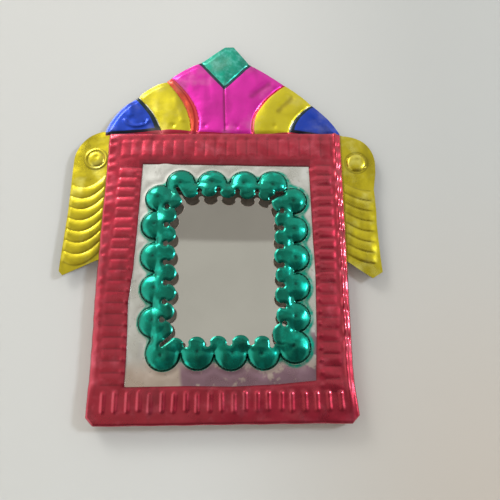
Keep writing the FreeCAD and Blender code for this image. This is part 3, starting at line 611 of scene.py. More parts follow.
def new_finish(name: str) -> tuple[bpy.types.Material, Bench, bpy.types.Node, bpy.types.NodeSocket]:
    """Start a finish.

    Returns:
        The material, its bench, its Principled shader and the Object coordinates.
    """
    material = bpy.data.materials.new(name)
    material.use_nodes = True
    bench = Bench(material.node_tree)
    shader = material.node_tree.nodes["Principled BSDF"]
    vector = bench.add("ShaderNodeTexCoord").outputs["Object"]
    return material, bench, shader, vector


def add_bump(bench: Bench, shader: bpy.types.Node, vector: bpy.types.NodeSocket, wave: float,
             wave_height: float, scratch_height: float) -> None:
    """Work the tin's waves and scratches into a shader's normal; heights are in metres."""
    height = bench.group(EFFECTS.relief, Vector=vector, Wave=wave, Wave_Height=wave_height,
                         Scratch_Height=scratch_height).outputs["Height"]
    bump = bench.add("ShaderNodeBump")
    bump.inputs["Strength"].default_value = 1.0
    bump.inputs["Distance"].default_value = 1.0
    bench.feed(bump.inputs["Height"], height)
    bench.feed(shader.inputs["Normal"], bump.outputs["Normal"])


@dataclass(frozen=True)
class Lacquer:
    """Translucent lacquer of one colour on bright tin."""

    name: str
    thin: Colour
    body: Colour
    deep: Colour
    patch: float = 220.0
    metallic: float = 0.9
    rough: tuple[float, float] = (0.24, 0.4)
    smudge_share: float = 0.7
    wave: float = 260.0
    wave_height: float = 0.00012
    scratch_height: float = 0.000004
    coat: float = 0.5
    coat_rough: float = 0.14

    def make(self) -> bpy.types.Material:
        """Build the material."""
        material, bench, shader, vector = new_finish(self.name)
        # Base colour darkened by the pool_shade attribute: pooled lacquer, and painted shade in creases and
        # hollows.
        colour = bench.group(EFFECTS.lacquer, Vector=vector, Thin=self.thin, Body=self.body,
                             Deep=self.deep, Patch=self.patch, Pool=bench.attribute("pool_shade"))
        bench.feed(shader.inputs["Base Color"], colour.outputs["Color"])
        bench.smudged(shader, vector, self.patch * self.smudge_share, *self.rough)
        shader.inputs["Metallic"].default_value = self.metallic
        shader.inputs["Coat Weight"].default_value = self.coat
        shader.inputs["Coat Roughness"].default_value = self.coat_rough
        add_bump(bench, shader, vector, self.wave, self.wave_height, self.scratch_height)
        return material


@dataclass(frozen=True)
class Tin:
    """Tinplate with smudges and scratches."""

    name: str
    bright: Colour
    dull: Colour
    rough: tuple[float, float] = (0.22, 0.42)
    smudge_scale: float = 60.0
    smudge_share: float = 2.1
    wave: float = 120.0
    wave_height: float = 0.0002
    scratch_height: float = 0.000006
    metallic: float = 0.95

    def make(self) -> bpy.types.Material:
        """Build the material."""
        material, bench, shader, vector = new_finish(self.name)
        cloud = bench.group(EFFECTS.smudge, Vector=vector, Scale=self.smudge_scale, Low=0.0, High=1.0)
        bench.feed(shader.inputs["Base Color"], bench.mix(cloud.outputs["Value"], self.bright, self.dull))
        bench.smudged(shader, vector, self.smudge_scale * self.smudge_share, *self.rough)
        shader.inputs["Metallic"].default_value = self.metallic
        add_bump(bench, shader, vector, self.wave, self.wave_height, self.scratch_height)
        return material


@dataclass(frozen=True)
class FieldTin:
    """Bright tin of the field: a painted reflection, beige low down and purple-grey to its lower right, with
    green lacquer run over from the ring.
    """

    bright: Colour = paint(222, 221, 213)
    beige: Colour = paint(208, 186, 168)
    reflected_purple: Colour = paint(158, 124, 138)
    speck: Colour = paint(120, 116, 108)
    green: Colour = paint(30, 168, 140)
    wander: float = 0.008
    reflection_height: Place = (0.0215, 0.0145)
    reflection_left: Place = (-0.0155, -0.0135)
    side_left: Place = (0.0275, 0.0305)
    side_height: Place = (0.034, 0.026)

    def make(self) -> bpy.types.Material:
        """Build the material."""
        material, bench, shader, vector = new_finish("smudged_field_tin_with_painted_reflection")
        parts = bench.parts(vector)
        wander = bench.math("MULTIPLY_ADD", bench.noise(vector, 60.0, detail=3), self.wander,
                            -self.wander / 2)
        up = bench.math("ADD", parts["Z"], wander)
        # Painted reflection: beige low down, purple-grey at the lower right and in a band low on the right
        # side.
        low = bench.span(up, *self.reflection_height)
        right = bench.span(bench.math("ADD", parts["X"], wander), *self.reflection_left)
        side = bench.math("MULTIPLY", bench.span(parts["X"], *self.side_left),
                          bench.span(up, *self.side_height))
        cloud = bench.noise(vector, 150.0, detail=3, rough=0.6)
        painted_reflection = bench.math("MULTIPLY", bench.math("MAXIMUM", bench.math("MULTIPLY", low, right), side),
                          bench.span(cloud, 0.36, 0.44, 0.25, 0.95))
        specks = bench.span(bench.noise(vector, 700.0, detail=3), 0.62, 0.75, 0.0, 0.3)
        spill = bench.math("MULTIPLY", bench.attribute("spill"),
                           bench.span(bench.noise(vector, 420.0), 0.3, 0.6, 0.55, 1.0), clamp=True)
        colour = bench.mix(bench.math("MULTIPLY", low, 0.8), self.bright, self.beige)
        # The purple-grey painted reflection, then real specks and the green lacquer run over.
        for share, shade in ((painted_reflection, self.reflected_purple), (specks, self.speck), (spill, self.green)):
            colour = bench.mix(share, colour, shade)
        bench.feed(shader.inputs["Base Color"], colour)
        bench.smudged(shader, vector, 120.0, 0.26, 0.46)
        shader.inputs["Metallic"].default_value = 0.9
        add_bump(bench, shader, vector, 110.0, 0.00022, 0.000005)
        return material


@dataclass(frozen=True)
class Bow:
    """A bowed edge between two colours of the crest, through three places from its top to its foot."""

    top: Place
    middle: Place
    foot: Place

    def numbers(self) -> tuple[float, float, float]:
        """Start, slope and bend of across = start + slope up + bend up squared."""
        ups = [place[1] for place in (self.top, self.middle, self.foot)]
        acrosses = [place[0] for place in (self.top, self.middle, self.foot)]
        bend, slope, start = np.polyfit(ups, acrosses, 2)
        return float(start), float(slope), float(bend)

    def distance(self, x: np.ndarray, z: np.ndarray) -> np.ndarray:
        """How far points lie to the right of the edge, square to it."""
        start, slope, bend = self.numbers()
        lean = slope + 2 * bend * z
        return (x - start - slope * z - bend * z * z) / np.sqrt(1 + lean ** 2)


@dataclass(frozen=True)
class Crest:
    """Fan-shaped crest, one struck sheet painted in fields of several lacquers."""

    spacing: float = 0.36
    gauge: float = 0.4
    rise: float = 0.62
    pillow_reach: float = 4.2
    groove_deep: float = 0.14
    seam_deep: float = 0.08
    unevenness: float = 0.07
    foot: float = 111.7
    flange: float = 1.9
    outline: tuple[tuple[float, ...], ...] = (
        (-49.2, 111.7), (-49.2, 113.2, 26.0), (-43.0, 124.6, 60.0), (-36.6, 129.5, 19.0),
        (-25.2, 137.0, 38.0), (-11.0, 146.4), (-0.7, 154.6), (3.0, 154.6), (9.8, 145.6, 120.0),
        (24.1, 135.7, 60.0), (35.4, 126.0, 46.0), (46.9, 112.4), (46.9, 111.7))
    blue_left: Bow = Bow((-36.3, 129.3), (-29.0, 120.0), (-26.7, 114.4))
    yellow_left: Bow = Bow((-24.8, 136.7), (-18.4, 128.0), (-14.4, 114.0))
    orange_left: Bow = Bow((-20.9, 137.0), (-14.0, 128.0), (-11.4, 114.0))
    magenta_right: Bow = Bow((24.3, 135.3), (14.7, 126.0), (11.2, 112.7))
    yellow_right: Bow = Bow((34.9, 125.2), (28.2, 118.6), (26.3, 113.4))
    diamond_tip: Place = (-0.7, 134.9)
    diamond_lean: tuple[float, float] = (1.16, 1.06)
    groove_start: float = -0.9
    groove_lean: float = 0.03
    ring_up: float = 144.2
    ring_reach: float = 8.6
    bowl: Place = (-36.6, 119.6)
    bowl_stretch: float = 1.35
    bowl_radius: float = 3.7
    bowl_rise: float = 0.35
    nick: Place = (-33.0, 117.4)
    nick_deep: float = 0.25
    pits: tuple[tuple[float, float, float], ...] = (
        (-21.8, 116.2, 0.3), (-8.6, 116.0, 0.25), (0.2, 115.8, 0.15), (4.4, 115.4, 0.3), (20.0, 115.8, 0.2))
    strokes: tuple[tuple[Place, Place, float], ...] = (
        ((18.5, 136.3), (12.0, 131.5), 0.3), ((27.5, 129.5), (23.0, 125.0), 0.3),
        ((-20.5, 128.6), (-17.5, 119.2), -0.15), ((-8.0, 139.6), (-7.0, 128.6), 0.12),
        ((34.0, 123.6), (41.0, 116.0), -0.2), ((-40.0, 125.6), (-39.5, 121.5), -0.25))
    # Strokes that take painted shade, with some pooled lacquer: start, end and width.
    shaded_strokes: tuple[tuple[Place, Place, float], ...] = (
        ((27.5, 128.6), (22.0, 123.0), 1.0), ((18.0, 135.4), (11.0, 130.0), 1.2))
    red_line: tuple[Place, ...] = (
        (-50.0, 112.0), (-42.0, 112.5), (-33.4, 113.2), (-27.0, 114.2), (-23.0, 114.4), (-14.4, 113.8),
        (-7.5, 113.2), (-0.5, 112.9), (5.5, 112.6), (18.5, 112.6), (26.3, 113.2), (31.5, 112.3),
        (38.3, 111.2), (48.0, 110.6))

    def bows(self) -> list[Bow]:
        """The edges that are creased into the sheet."""
        return [self.blue_left, self.yellow_left, self.orange_left, self.magenta_right, self.yellow_right]

    def groove(self, z: np.ndarray) -> np.ndarray:
        """Where the groove down the middle runs."""
        return self.groove_start + self.groove_lean * (self.diamond_tip[1] - z)

    def above_diamond(self, x: np.ndarray, z: np.ndarray) -> np.ndarray:
        """Distance above the V under the diamond, square to its sides."""
        lean = np.where(x < self.diamond_tip[0], self.diamond_lean[0], self.diamond_lean[1])
        return (z - self.diamond_tip[1] - np.abs(x - self.diamond_tip[0]) * lean) / np.sqrt(1 + lean ** 2)

    def height(self, x: np.ndarray, z: np.ndarray) -> np.ndarray:
        """Distance from the wall of the struck sheet's front."""
        sheet = plate(rounded(self.outline))
        v_side = self.above_diamond(x, z)
        below = v_side < 0
        nearest = np.abs(v_side)
        for bow in self.bows():
            nearest = np.where(below, np.minimum(nearest, np.abs(bow.distance(x, z))), nearest)
        middle = np.where(below, np.abs(x - self.groove(z)), 9.0)
        edge = -sheet(x, z)
        pillow = shoulder(nearest, self.pillow_reach) * 0.85 * ease(edge, 2.4) + 0.15 * ease(nearest, 0.5)
        out = Stack.CREST.value + self.rise * pillow * ease(edge, 1.0)
        out -= self.groove_deep * soft_line(middle, 0.5) * ease(z - 113.5, 1.5)
        out -= self.seam_deep * soft_line(nearest, 0.3)
        for across, up, deep in self.pits:
            out -= deep * mound(x, z, across, up, 1.0)
        for start, end, deep in self.strokes:
            out -= deep * stroke(x, z, start, end, 1.3)
        around = np.hypot((x - self.bowl[0]) / self.bowl_stretch, z - self.bowl[1])
        brim = soft_line(around - self.bowl_radius, 0.5) * ease(self.bowl[1] - z, 1.2)
        out += self.bowl_rise * brim - self.nick_deep * mound(x, z, *self.nick, 0.7)
        out += self.unevenness * ripple(x, z, 9.0, 31)
        beyond_ring = ease(np.hypot(x, z - self.ring_up) - self.ring_reach, 1.5)
        return np.maximum(out, Stack.CREST.value - 0.05 - beyond_ring)

    def build(self) -> bpy.types.Object:
        """Cut, crease, strike and fold the sheet."""
        blank = Blank("painted_crest", (-49.8, self.foot), (47.6, 154.9), self.spacing)
        blank.cut(plate(rounded(self.outline)))
        for bow in self.bows():
            blank.crease(bow.distance)
        blank.crease(self.above_diamond)
        places = blank.places()
        x, z = places[:, 0], places[:, 2]
        # Painted shade, with some pooled lacquer, in the groove down the middle and along the shaded strokes.
        middle = soft_line(x - self.groove(z), 0.42) * ease(135.5 - z, 1.0) * ease(z - 113.0, 1.0)
        groove_shade = np.zeros(len(x))
        for start, end, width in self.shaded_strokes:
            groove_shade = np.maximum(groove_shade, stroke(x, z, start, end, width))
        blank.mark("pool_shade", np.clip(0.9 * middle + 0.55 * groove_shade, 0, 1))
        ups, downs = zip(*self.red_line)
        blank.mark("above_red", z - np.interp(x, ups, downs))
        blank.strike(self.height)
        blank.fold_flange(lambda x, z: z - self.foot, self.flange)
        piece = blank.thicken(self.gauge, self.finish(), BACK_TIN)
        return set_down(piece, ("crest",))

    def finish(self) -> bpy.types.Material:
        """Six lacquers side by side, dark where two overlap, with uncoated tin at some creased edges, painted
        paler as a highlight.
        """
        material, bench, shader, vector = new_finish("crest_lacquers")
        parts = bench.parts(vector)
        shake = bench.math("MULTIPLY_ADD", bench.noise(vector, 330.0, detail=2), 0.5, -0.25)
        across = bench.math("MULTIPLY_ADD", parts["X"], 1 / METRES, shake)
        up = bench.math("MULTIPLY", bench.math("SUBTRACT", parts["Z"], FOOT), 1 / METRES)
        yellow, orange, red = paint(212, 196, 30), paint(204, 72, 46), paint(190, 34, 56)
        magenta, blue, dark = paint(220, 36, 166), paint(20, 62, 176), paint(12, 36, 42)
        fields = ((self.blue_left, -2.2, dark), (self.blue_left, 0.0, yellow),
                  (self.yellow_left, 0.0, orange), (self.orange_left, -1.9, paint(184, 30, 30)),
                  (self.orange_left, -1.2, paint(222, 60, 66)),
                  (self.orange_left, 0.0, magenta), (self.magenta_right, -0.5, red),
                  (self.magenta_right, 0.9, yellow), (self.yellow_right, 0.0, dark),
                  (self.yellow_right, 1.9, blue))
        colour: object = blue
        bare_tin_highlight: object = 0.0
        for bow, shift, shade in fields:
            start, slope, bend = bow.numbers()
            right = bench.group(EFFECTS.bow, Across=across, Up=up, Start=start, Slope=slope,
                                Bend=bend).outputs["Distance"]
            colour = bench.mix(bench.span(right, shift - 0.12, shift + 0.12), colour, shade)
            # Along two creased edges: uncoated tin between the lacquers, painted paler as a highlight on the
            # crease.
            if (bow, shift) in ((self.blue_left, 0.0), (self.yellow_right, 0.0)):
                line = bench.span(bench.math("ABSOLUTE", right), 0.3, 0.1)
                bare_tin_highlight = bench.math("MAXIMUM", bare_tin_highlight, line)
        lean = bench.math("MULTIPLY", bench.math("GREATER_THAN", across, self.diamond_tip[0]),
                          self.diamond_lean[1] - self.diamond_lean[0])
        lean = bench.math("ADD", lean, self.diamond_lean[0])
        aside = bench.math("ABSOLUTE", bench.math("SUBTRACT", across, self.diamond_tip[0]))
        above = bench.math("SUBTRACT", bench.math("SUBTRACT", up, self.diamond_tip[1]),
                           bench.math("MULTIPLY", aside, lean))
        teal = bench.mix(bench.span(bench.noise(vector, 330.0, detail=5, rough=0.7), 0.42, 0.72),
                         paint(4, 160, 132), paint(88, 200, 182))
        colour = bench.mix(bench.span(above, -2.0, -1.7), colour, paint(20, 44, 62))
        colour = bench.mix(bench.span(above, 0.0, 0.3), colour, teal)
        # Pale tin colour: uncoated tin, and a painted highlight along those creases.
        thin = bench.math("MULTIPLY", bare_tin_highlight, bench.span(bench.noise(vector, 260.0), 0.42, 0.6))
        colour = bench.mix(thin, colour, paint(225, 225, 215))
        over_red = bench.attribute("above_red")
        outer = bench.math("MAXIMUM", bench.span(across, -26.0, -28.0), bench.span(across, 26.0, 28.0))
        under = bench.math("MULTIPLY", bench.span(over_red, 1.5, 1.1), outer)
        colour = bench.mix(under, colour, paint(16, 22, 40))
        colour = bench.mix(bench.span(over_red, 0.1, -0.1), colour, paint(196, 40, 70))
        deep = bench.mix(1.0, colour, paint(140, 120, 120), "MULTIPLY")
        light = bench.mix(0.12, colour, paint(240, 236, 214))
        # The pool_shade attribute adds pooled lacquer and painted shade in the grooves.
        cloud = bench.group(EFFECTS.lacquer, Vector=vector, Thin=light, Body=colour, Deep=deep, Patch=110.0,
                            Pool=bench.attribute("pool_shade"))
        bench.feed(shader.inputs["Base Color"], cloud.outputs["Color"])
        bench.smudged(shader, vector, 140.0, 0.3, 0.46)
        shader.inputs["Metallic"].default_value = 0.82
        shader.inputs["Coat Weight"].default_value = 0.45
        shader.inputs["Coat Roughness"].default_value = 0.15
        add_bump(bench, shader, vector, 240.0, 0.00012, 0.000004)
        return material


@dataclass(frozen=True)
class Wing:
    """Drooping wing with a boss at its head and curved flutes below it."""

    name: str
    sign: int
    outline: tuple[tuple[float, ...], ...]
    boss: Place
    flutes_end: float
    edge_margin: float
    spacing: float = 0.3
    gauge: float = 0.4
    root: float = 47.0
    first_flute: float = 58.7
    pitch: float = 4.5
    lean: float = 0.08
    bend: float = 0.024
    count: int = 7
    rise: float = 0.42
    skew: float = 1.1
    flat: float = 1.0
    boss_radius: float = 3.4
    boss_rise: float = 0.6
    ring_radius: float = 4.1
    ring_rise: float = 0.22
    boss_dent: float = 0.12
    unevenness: float = 0.10
    tip: float = 63.2
    flange: float = 1.9

    def flute_place(self, x: np.ndarray, z: np.ndarray) -> np.ndarray:
        """Number of pitches above the lowest crease, which curves up towards the root."""
        inward = np.clip(self.sign * (self.flutes_end - x), 0, None)
        return (z - self.lean * inward - self.bend * inward ** 2 - self.first_flute) / self.pitch

    def height(self, x: np.ndarray, z: np.ndarray) -> np.ndarray:
        """Distance from the wall of the struck sheet's front."""
        steps = self.flute_place(x, z)
        number = np.clip(np.floor(steps), 0, self.count - 1)
        share = np.clip(steps - number, 0, 1)
        chance = np.random.default_rng(70 + self.sign)
        lift = chance.uniform(0.85, 1.1, self.count)[number.astype(int)]
        ridge = np.sin(math.pi * share ** self.skew) ** self.flat
        from_root = self.sign * x - self.root
        from_edge = self.sign * (self.flutes_end - x) + self.edge_margin
        fade = ease(from_root, 1.0) * ease(from_edge, 3.0)
        edge = -plate(rounded(self.outline))(x, z)
        out = Stack.CREST.value + self.rise * ridge * lift * fade * ease(edge, 1.2)
        off = np.hypot(x - self.boss[0], z - self.boss[1])
        flat = ease(off - self.ring_radius - 0.2, 0.8)
        out = Stack.CREST.value + (out - Stack.CREST.value) * flat
        out += self.boss_rise * shoulder(self.boss_radius - off, 2.2)
        out += self.ring_rise * soft_line(off - self.ring_radius, 0.35)
        out -= self.boss_dent * mound(x, z, self.boss[0] + 0.3, self.boss[1] + 0.9, 0.8)
        return out + self.unevenness * ripple(x, z, 12.0, 40 + self.sign)

    def pooled_shade(self, x: np.ndarray, z: np.ndarray) -> np.ndarray:
        """Painted shade, with some pooled lacquer, in the creases and round the boss, and painted shade along
        the root.
        """
        steps = self.flute_place(x, z)
        crease = np.abs(steps - np.rint(steps)) * self.pitch
        inset = self.sign * (self.flutes_end - x)
        shade = soft_line(crease, 0.3) * (steps > -0.3) * (steps < self.count + 0.3) * ease(inset + 0.8, 1.0)
        off = np.hypot(x - self.boss[0], z - self.boss[1])
        groove = np.maximum(0.7 * soft_line(off - self.ring_radius - 0.55, 0.22),
                            0.4 * soft_line(off - self.boss_radius - 0.1, 0.25))
        # Painted shade along the root, where the wing goes in behind the border.
        root = 0.8 * soft_line(np.abs(x) - self.root, 0.35)
        return np.maximum(np.maximum(0.5 * shade * (off > self.ring_radius), groove), root)

    def build(self) -> bpy.types.Object:
        """Cut, crease, strike and fold the sheet."""
        ups = [corner[1] for corner in self.outline]
        ends = sorted((self.sign * self.root, self.sign * self.tip))
        blank = Blank(f"fluted_{self.name}", (ends[0], min(ups) - 0.3), (ends[1], max(ups) + 0.6),
                      self.spacing)
        blank.cut(plate(rounded(self.outline)))
        for number in range(self.count + 1):
            blank.crease(lambda x, z, line=number: (self.flute_place(x, z) - line) * self.pitch)
        blank.crease(lambda x, z: np.hypot(x - self.boss[0], z - self.boss[1]) - self.boss_radius)
        places = blank.places()
        blank.mark("pool_shade", self.pooled_shade(places[:, 0], places[:, 2]))
        blank.strike(self.height)
        blank.fold_flange(lambda x, z: x - self.sign * self.root, self.flange)
        piece = blank.thicken(self.gauge, YELLOW_LACQUER, BACK_TIN)
        return set_down(piece, (self.name,))


@dataclass(frozen=True)
class RibRow:
    """Ribs struck one after the other along one side of the border."""

    upright: bool
    first: float
    pitch: float
    count: int
    middle: float
    seed: int
    length: float = 8.4
    width: float = 3.9
    rise: float = 0.26
    round_end: float = 1.2
    reach: float = 1.9
    fading: bool = False
    drift: float = 0.0

    def line(self, along: np.ndarray) -> np.ndarray:
        """Where the row's middle line runs, which drifts inwards above."""
        return self.middle + self.drift * np.clip(along - 40, 0, None)

    def groove_shade(self, x: np.ndarray, z: np.ndarray) -> np.ndarray:
        """Painted shade, with some pooled lacquer, in the narrow gaps between two ribs."""
        along, across = (x, z) if self.upright else (z, x)
        gap = np.abs((along - self.first) / self.pitch - np.floor((along - self.first) / self.pitch) - 0.5)
        inside = ease(self.length / 2 - np.abs(across - self.line(along)), 1.2)
        ends = (along > self.first - self.pitch) & (along < self.first + self.count * self.pitch)
        return soft_line(gap * self.pitch, 0.3) * inside * ends

    def height(self, x: np.ndarray, z: np.ndarray) -> np.ndarray:
        """Rise of the row above the border's face."""
        along, across = (x, z) if self.upright else (z, x)
        chance = np.random.default_rng(self.seed)
        number = np.clip(np.rint((along - self.first) / self.pitch), 0, self.count - 1).astype(int)
        shift = chance.normal(0, 0.14, self.count)[number]
        slide = chance.normal(0, 0.22, self.count)[number]
        lean = chance.normal(0, 0.02, self.count)[number]
        lift = chance.uniform(0.8, 1.0, self.count)[number]
        off = across - self.line(along) - slide
        beside = np.abs(along - self.first - number * self.pitch - shift - lean * off)
        beyond_side = beside - (self.width / 2 - self.round_end)
        beyond_end = np.abs(off) - (self.length / 2 - self.round_end)
        outside = np.hypot(np.maximum(beyond_side, 0), np.maximum(beyond_end, 0)) - self.round_end
        distance = outside + np.minimum(np.maximum(beyond_side, beyond_end), 0)
        inside = np.clip(-distance / self.reach, 0, 1)
        flatter = 0.5 + 0.5 * ease(z - 38, 34) if self.fading else 1.0
        return self.rise * flatter * lift * (1 - (1 - inside) ** 2)


@dataclass
class Border:
    """Tray of red tin: struck face, rounded front edge, wall, and a lip folded over the back."""

    spacing: float = 0.42
    gauge: float = 0.4
    half_width: float = 47.0
    top: float = 111.7
    clip: float = 2.2
    front_radius: float = 0.9
    back_radius: float = 0.8
    lip: float = 3.2
    foot_reach: float = 14.0
    prick_rise: float = 0.26
    foot_prick_rise: float = 0.15
    fold_start: float = 43.4
    fold_width: float = 2.7
    fold_rise: float = 0.5
    fold_drop: float = 0.45
    roll_start: float = 44.2
    roll_width: float = 2.2
    dent_line: float = 45.0
    dent_width: float = 1.3
    buckle_rise: float = 0.17
    dent_rise: float = 0.08
    flare_out: float = 1.4
    bulge_out: float = 0.6
    corner_drop: float = 1.0
    head_line: float = 100.9
    head_drop: float = 0.2
    brink_drop: float = 0.15
    unevenness: float = 0.06
    window: tuple[Place, ...] = (
        (-33.9, 12.2), (-12.0, 12.6), (4.0, 12.4), (20.0, 13.2), (33.3, 14.5), (34.1, 31.0), (34.5, 53.0),
        (34.0, 68.0), (33.4, 96.8), (16.0, 97.1), (0.7, 97.4), (-32.5, 98.0), (-32.9, 75.0), (-33.3, 55.0),
        (-34.4, 42.0), (-33.9, 25.0))
    rows: tuple[RibRow, ...] = (
        RibRow(False, 15.0, 4.18, 20, -39.1, 1, length=8.2, fading=True, drift=0.026),
        RibRow(False, 12.9, 4.33, 20, 39.1, 2, length=6.8, rise=0.3, fading=True),
        RibRow(True, -39.9, 4.228, 20, 104.5, 3, length=7.8, rise=0.2),
        RibRow(True, -41.0, 4.12, 21, 7.5, 4, length=6.9, width=1.8, rise=0.34, round_end=0.9, reach=0.9))

    def __post_init__(self) -> None:
        """Work out the line that the edges are folded round."""
        half, low, high = self.half_width - self.front_radius, self.front_radius, self.top - self.front_radius
        self.fold_line = ((-half, low + self.clip), (-half, high), (half, high), (half, low + self.clip),
                          (half - self.clip, low), (-half + self.clip, low))
        face = Stack.BORDER.value
        self.front_end = self.front_radius * math.pi / 2
        self.wall_end = self.front_end + face - self.front_radius - self.back_radius
        self.back_end = self.wall_end + self.back_radius * math.pi / 2

    def nearest(self, x: np.ndarray, z: np.ndarray) -> tuple[np.ndarray, ...]:
        """Nearest place on the fold line, and whether it is one of the line's corners."""
        best = np.full(np.shape(x), FAR)
        found_x, found_z = np.zeros(np.shape(x)), np.zeros(np.shape(x))
        corner = np.zeros(np.shape(x), bool)
        for (ax, az), (bx, bz) in zip(self.fold_line, self.fold_line[1:] + self.fold_line[:1]):
            run, rise = bx - ax, bz - az
            raw = ((x - ax) * run + (z - az) * rise) / (run ** 2 + rise ** 2)
            share = np.clip(raw, 0, 1)
            near_x, near_z = ax + share * run, az + share * rise
            distance = np.hypot(x - near_x, z - near_z)
            closer = distance < best
            best = np.where(closer, distance, best)
            found_x, found_z = np.where(closer, near_x, found_x), np.where(closer, near_z, found_z)
            corner = np.where(closer, raw != share, corner)
        return found_x, found_z, corner

    def blank_outline(self, x: np.ndarray, z: np.ndarray) -> np.ndarray:
        """Distance outside the flat blank, which has its window cut and its lip snipped at the corners."""
        near_x, near_z, corner = self.nearest(x, z)
        away = np.hypot(x - near_x, z - near_z)
        away = np.where(plate(self.fold_line)(x, z) < 0, -away, away)
        limit = np.where(corner, self.back_end + 0.08, self.back_end + self.lip)
        return np.maximum(away - limit, -plate(self.window)(x, z))

    def height(self, x: np.ndarray, z: np.ndarray) -> np.ndarray:
        """Struck height above the plain face, square to the sheet."""
        total = np.zeros(np.shape(x))
        for row in self.rows:
            total = np.maximum(total, row.height(x, z))
        for across, up in self.pricks():
            rise = self.prick_rise if up > self.foot_reach else self.foot_prick_rise
            total += rise * mound(x, z, across, up, 0.75)
        total += self.right_fold(x, z) + self.left_fold(x, z)
        under_head = ease(z - 95, 1.0) * ease(37 - np.abs(x), 3.0)
        total -= self.head_drop * np.clip((self.head_line - z) / 2.9, 0, 1) * under_head
        brink = soft_line(plate(self.window)(x, z), 0.5)
        return total - self.brink_drop * brink + self.unevenness * ripple(x, z, 8.0, 11)

    def right_fold(self, x: np.ndarray, z: np.ndarray) -> np.ndarray:
        """Height of the ridge along the right edge, which buckled as it was folded."""
        fold = np.clip((x - self.fold_start) / self.fold_width, 0, 1)
        ridge = self.fold_rise * np.sin(math.pi * np.minimum(fold * 1.25, 1)) * ease(x - 42.6, 1.4)
        ridge = (ridge - self.fold_drop * fold) * (0.2 + 0.8 * ease(z - 4, 12))
        buckle = soft_line(x - self.dent_line, self.dent_width) * ease(z - 12, 20) * ease(109 - z, 4)
        waves = np.sin(z * math.tau / 5.1) + 0.8 * np.sin(z * math.tau / 8.3 + 1.0)
        return ridge + self.buckle_rise * buckle * waves

    def left_fold(self, x: np.ndarray, z: np.ndarray) -> np.ndarray:
        """Height along the left edge, which rolls off below and has shallow dents."""
        share = np.clip((-x - self.roll_start) / self.roll_width, 0, 1)
        rolled = share ** 1.5 * ease(78 - z, 25) * ease(z - 6, 10)
        rolled = self.fold_drop * rolled * (1 + 0.25 * np.sin(z * math.tau / 6.3))
        dents = soft_line(x + self.dent_line, self.dent_width) * ease(z - 15, 20)
        waves = np.sin(z * math.tau / 4.18 + 0.7) + 0.5 * np.sin(z * math.tau / 3.1)
        return self.dent_rise * dents * waves - rolled

    def pooled_shade(self, x: np.ndarray, z: np.ndarray) -> np.ndarray:
        """Painted shade, with some pooled lacquer, between the ribs and along the window, and painted shade
        under the head row and at its ribs' upper ends.
        """
        left, right, head, _ = self.rows
        gaps = 0.55 * np.maximum(left.groove_shade(x, z), right.groove_shade(x, z)) + 0.4 * head.groove_shade(x, z)
        brink = 0.7 * soft_line(plate(self.window)(x, z), 0.4)
        # Painted shade where the face slopes down under the head row.
        under_head = 0.45 * ease(100.6 - z, 1.2) * (z > 96) * (np.abs(x) < 34)
        # Painted shade at the upper ends of the gaps between the head row's ribs.
        spots = np.zeros(len(x))
        for number in range(head.count + 1):
            spots += mound(x, z, head.first + (number - 0.5) * head.pitch, 109.1, 0.75)
        return np.clip(gaps + brink + under_head + 0.5 * spots, 0, 1)

    def pricks(self) -> list[Place]:
        """Where the ends of the ribs at the sides and the foot stand up as small points."""
        left, right, _, foot = self.rows
        heights = [left.first + (number - 0.4) * left.pitch for number in range(left.count)]
        points = [(float(left.line(np.array(up))) + left.length / 2 - 0.2, up) for up in heights]
        points += [(right.middle - right.length / 2 - 0.3, right.first + number * right.pitch)
                   for number in range(right.count)]
        return points + [(foot.first + number * foot.pitch - 0.3, foot.middle + foot.length / 2 - 0.6)
                         for number in range(12, foot.count)]

    def sprung(self, x: np.ndarray, z: np.ndarray) -> tuple[np.ndarray, np.ndarray]:
        """Where the sheet lies once its edges have sprung outwards at the right, left and lower left."""
        flare = np.clip((x - 25) / 20, 0, 1) * np.clip((20 - z) / 18, 0, 1) ** 1.5
        bulge = np.clip((-x - 25) / 20, 0, 1) * soft_line(z - 50, 22)
        x = x + self.flare_out * flare - self.bulge_out * bulge
        return x, z - self.corner_drop * np.clip((12 - z) / 10, 0, 1) * np.clip((30 - x) / 70, 0, 1)

    def folded(self, x: np.ndarray, z: np.ndarray) -> np.ndarray:
        """Places of the blank's points once it is struck and its edges are folded to the back."""
        near_x, near_z, _ = self.nearest(x, z)
        inside = plate(self.fold_line)(x, z) <= 0
        away = np.where(inside, 0, np.hypot(x - near_x, z - near_z))
        safe = np.maximum(away, TINY)
        way_x, way_z = (x - near_x) / safe, (z - near_z) / safe
        lift = self.height(x, z)
        face, big, small = Stack.BORDER.value, self.front_radius, self.back_radius
        turn, back_turn = away / big, (away - self.wall_end) / small
        cases = [away <= self.front_end, away <= self.wall_end, away <= self.back_end]
        out = np.select(cases, [(big + lift) * np.sin(turn), big + lift * 0.5,
                                big - small + small * np.cos(back_turn)],
                        big - small - (away - self.back_end))
        high = np.select(cases, [face - big + (big + lift) * np.cos(turn),
                                 face - big - (away - self.front_end),
                                 small - small * np.sin(back_turn)], 0.0)
        base_x, base_z = self.sprung(np.where(inside, x, near_x), np.where(inside, z, near_z))
        high = np.where(inside, face + lift, high)
        return np.column_stack((base_x + np.where(inside, 0, way_x * out), -high,
                                base_z + np.where(inside, 0, way_z * out)))

    def build(self) -> bpy.types.Object:
        """Cut the blank, strike its ribs and fold its edges."""
        spare = self.back_end + self.lip - self.front_radius + 0.5
        blank = Blank("ribbed_red_border", (-self.half_width - spare, -spare),
                      (self.half_width + spare, self.top + spare), self.spacing)
        blank.cut(self.blank_outline)
        places = blank.places()
        x, z = places[:, 0], places[:, 2]
        blank.mark("pool_shade", self.pooled_shade(x, z))
        blank.move(self.folded(x, z))
        piece = blank.thicken(self.gauge, RED_LACQUER, BACK_TIN)
        return set_down(piece, ("ribbed_border",))


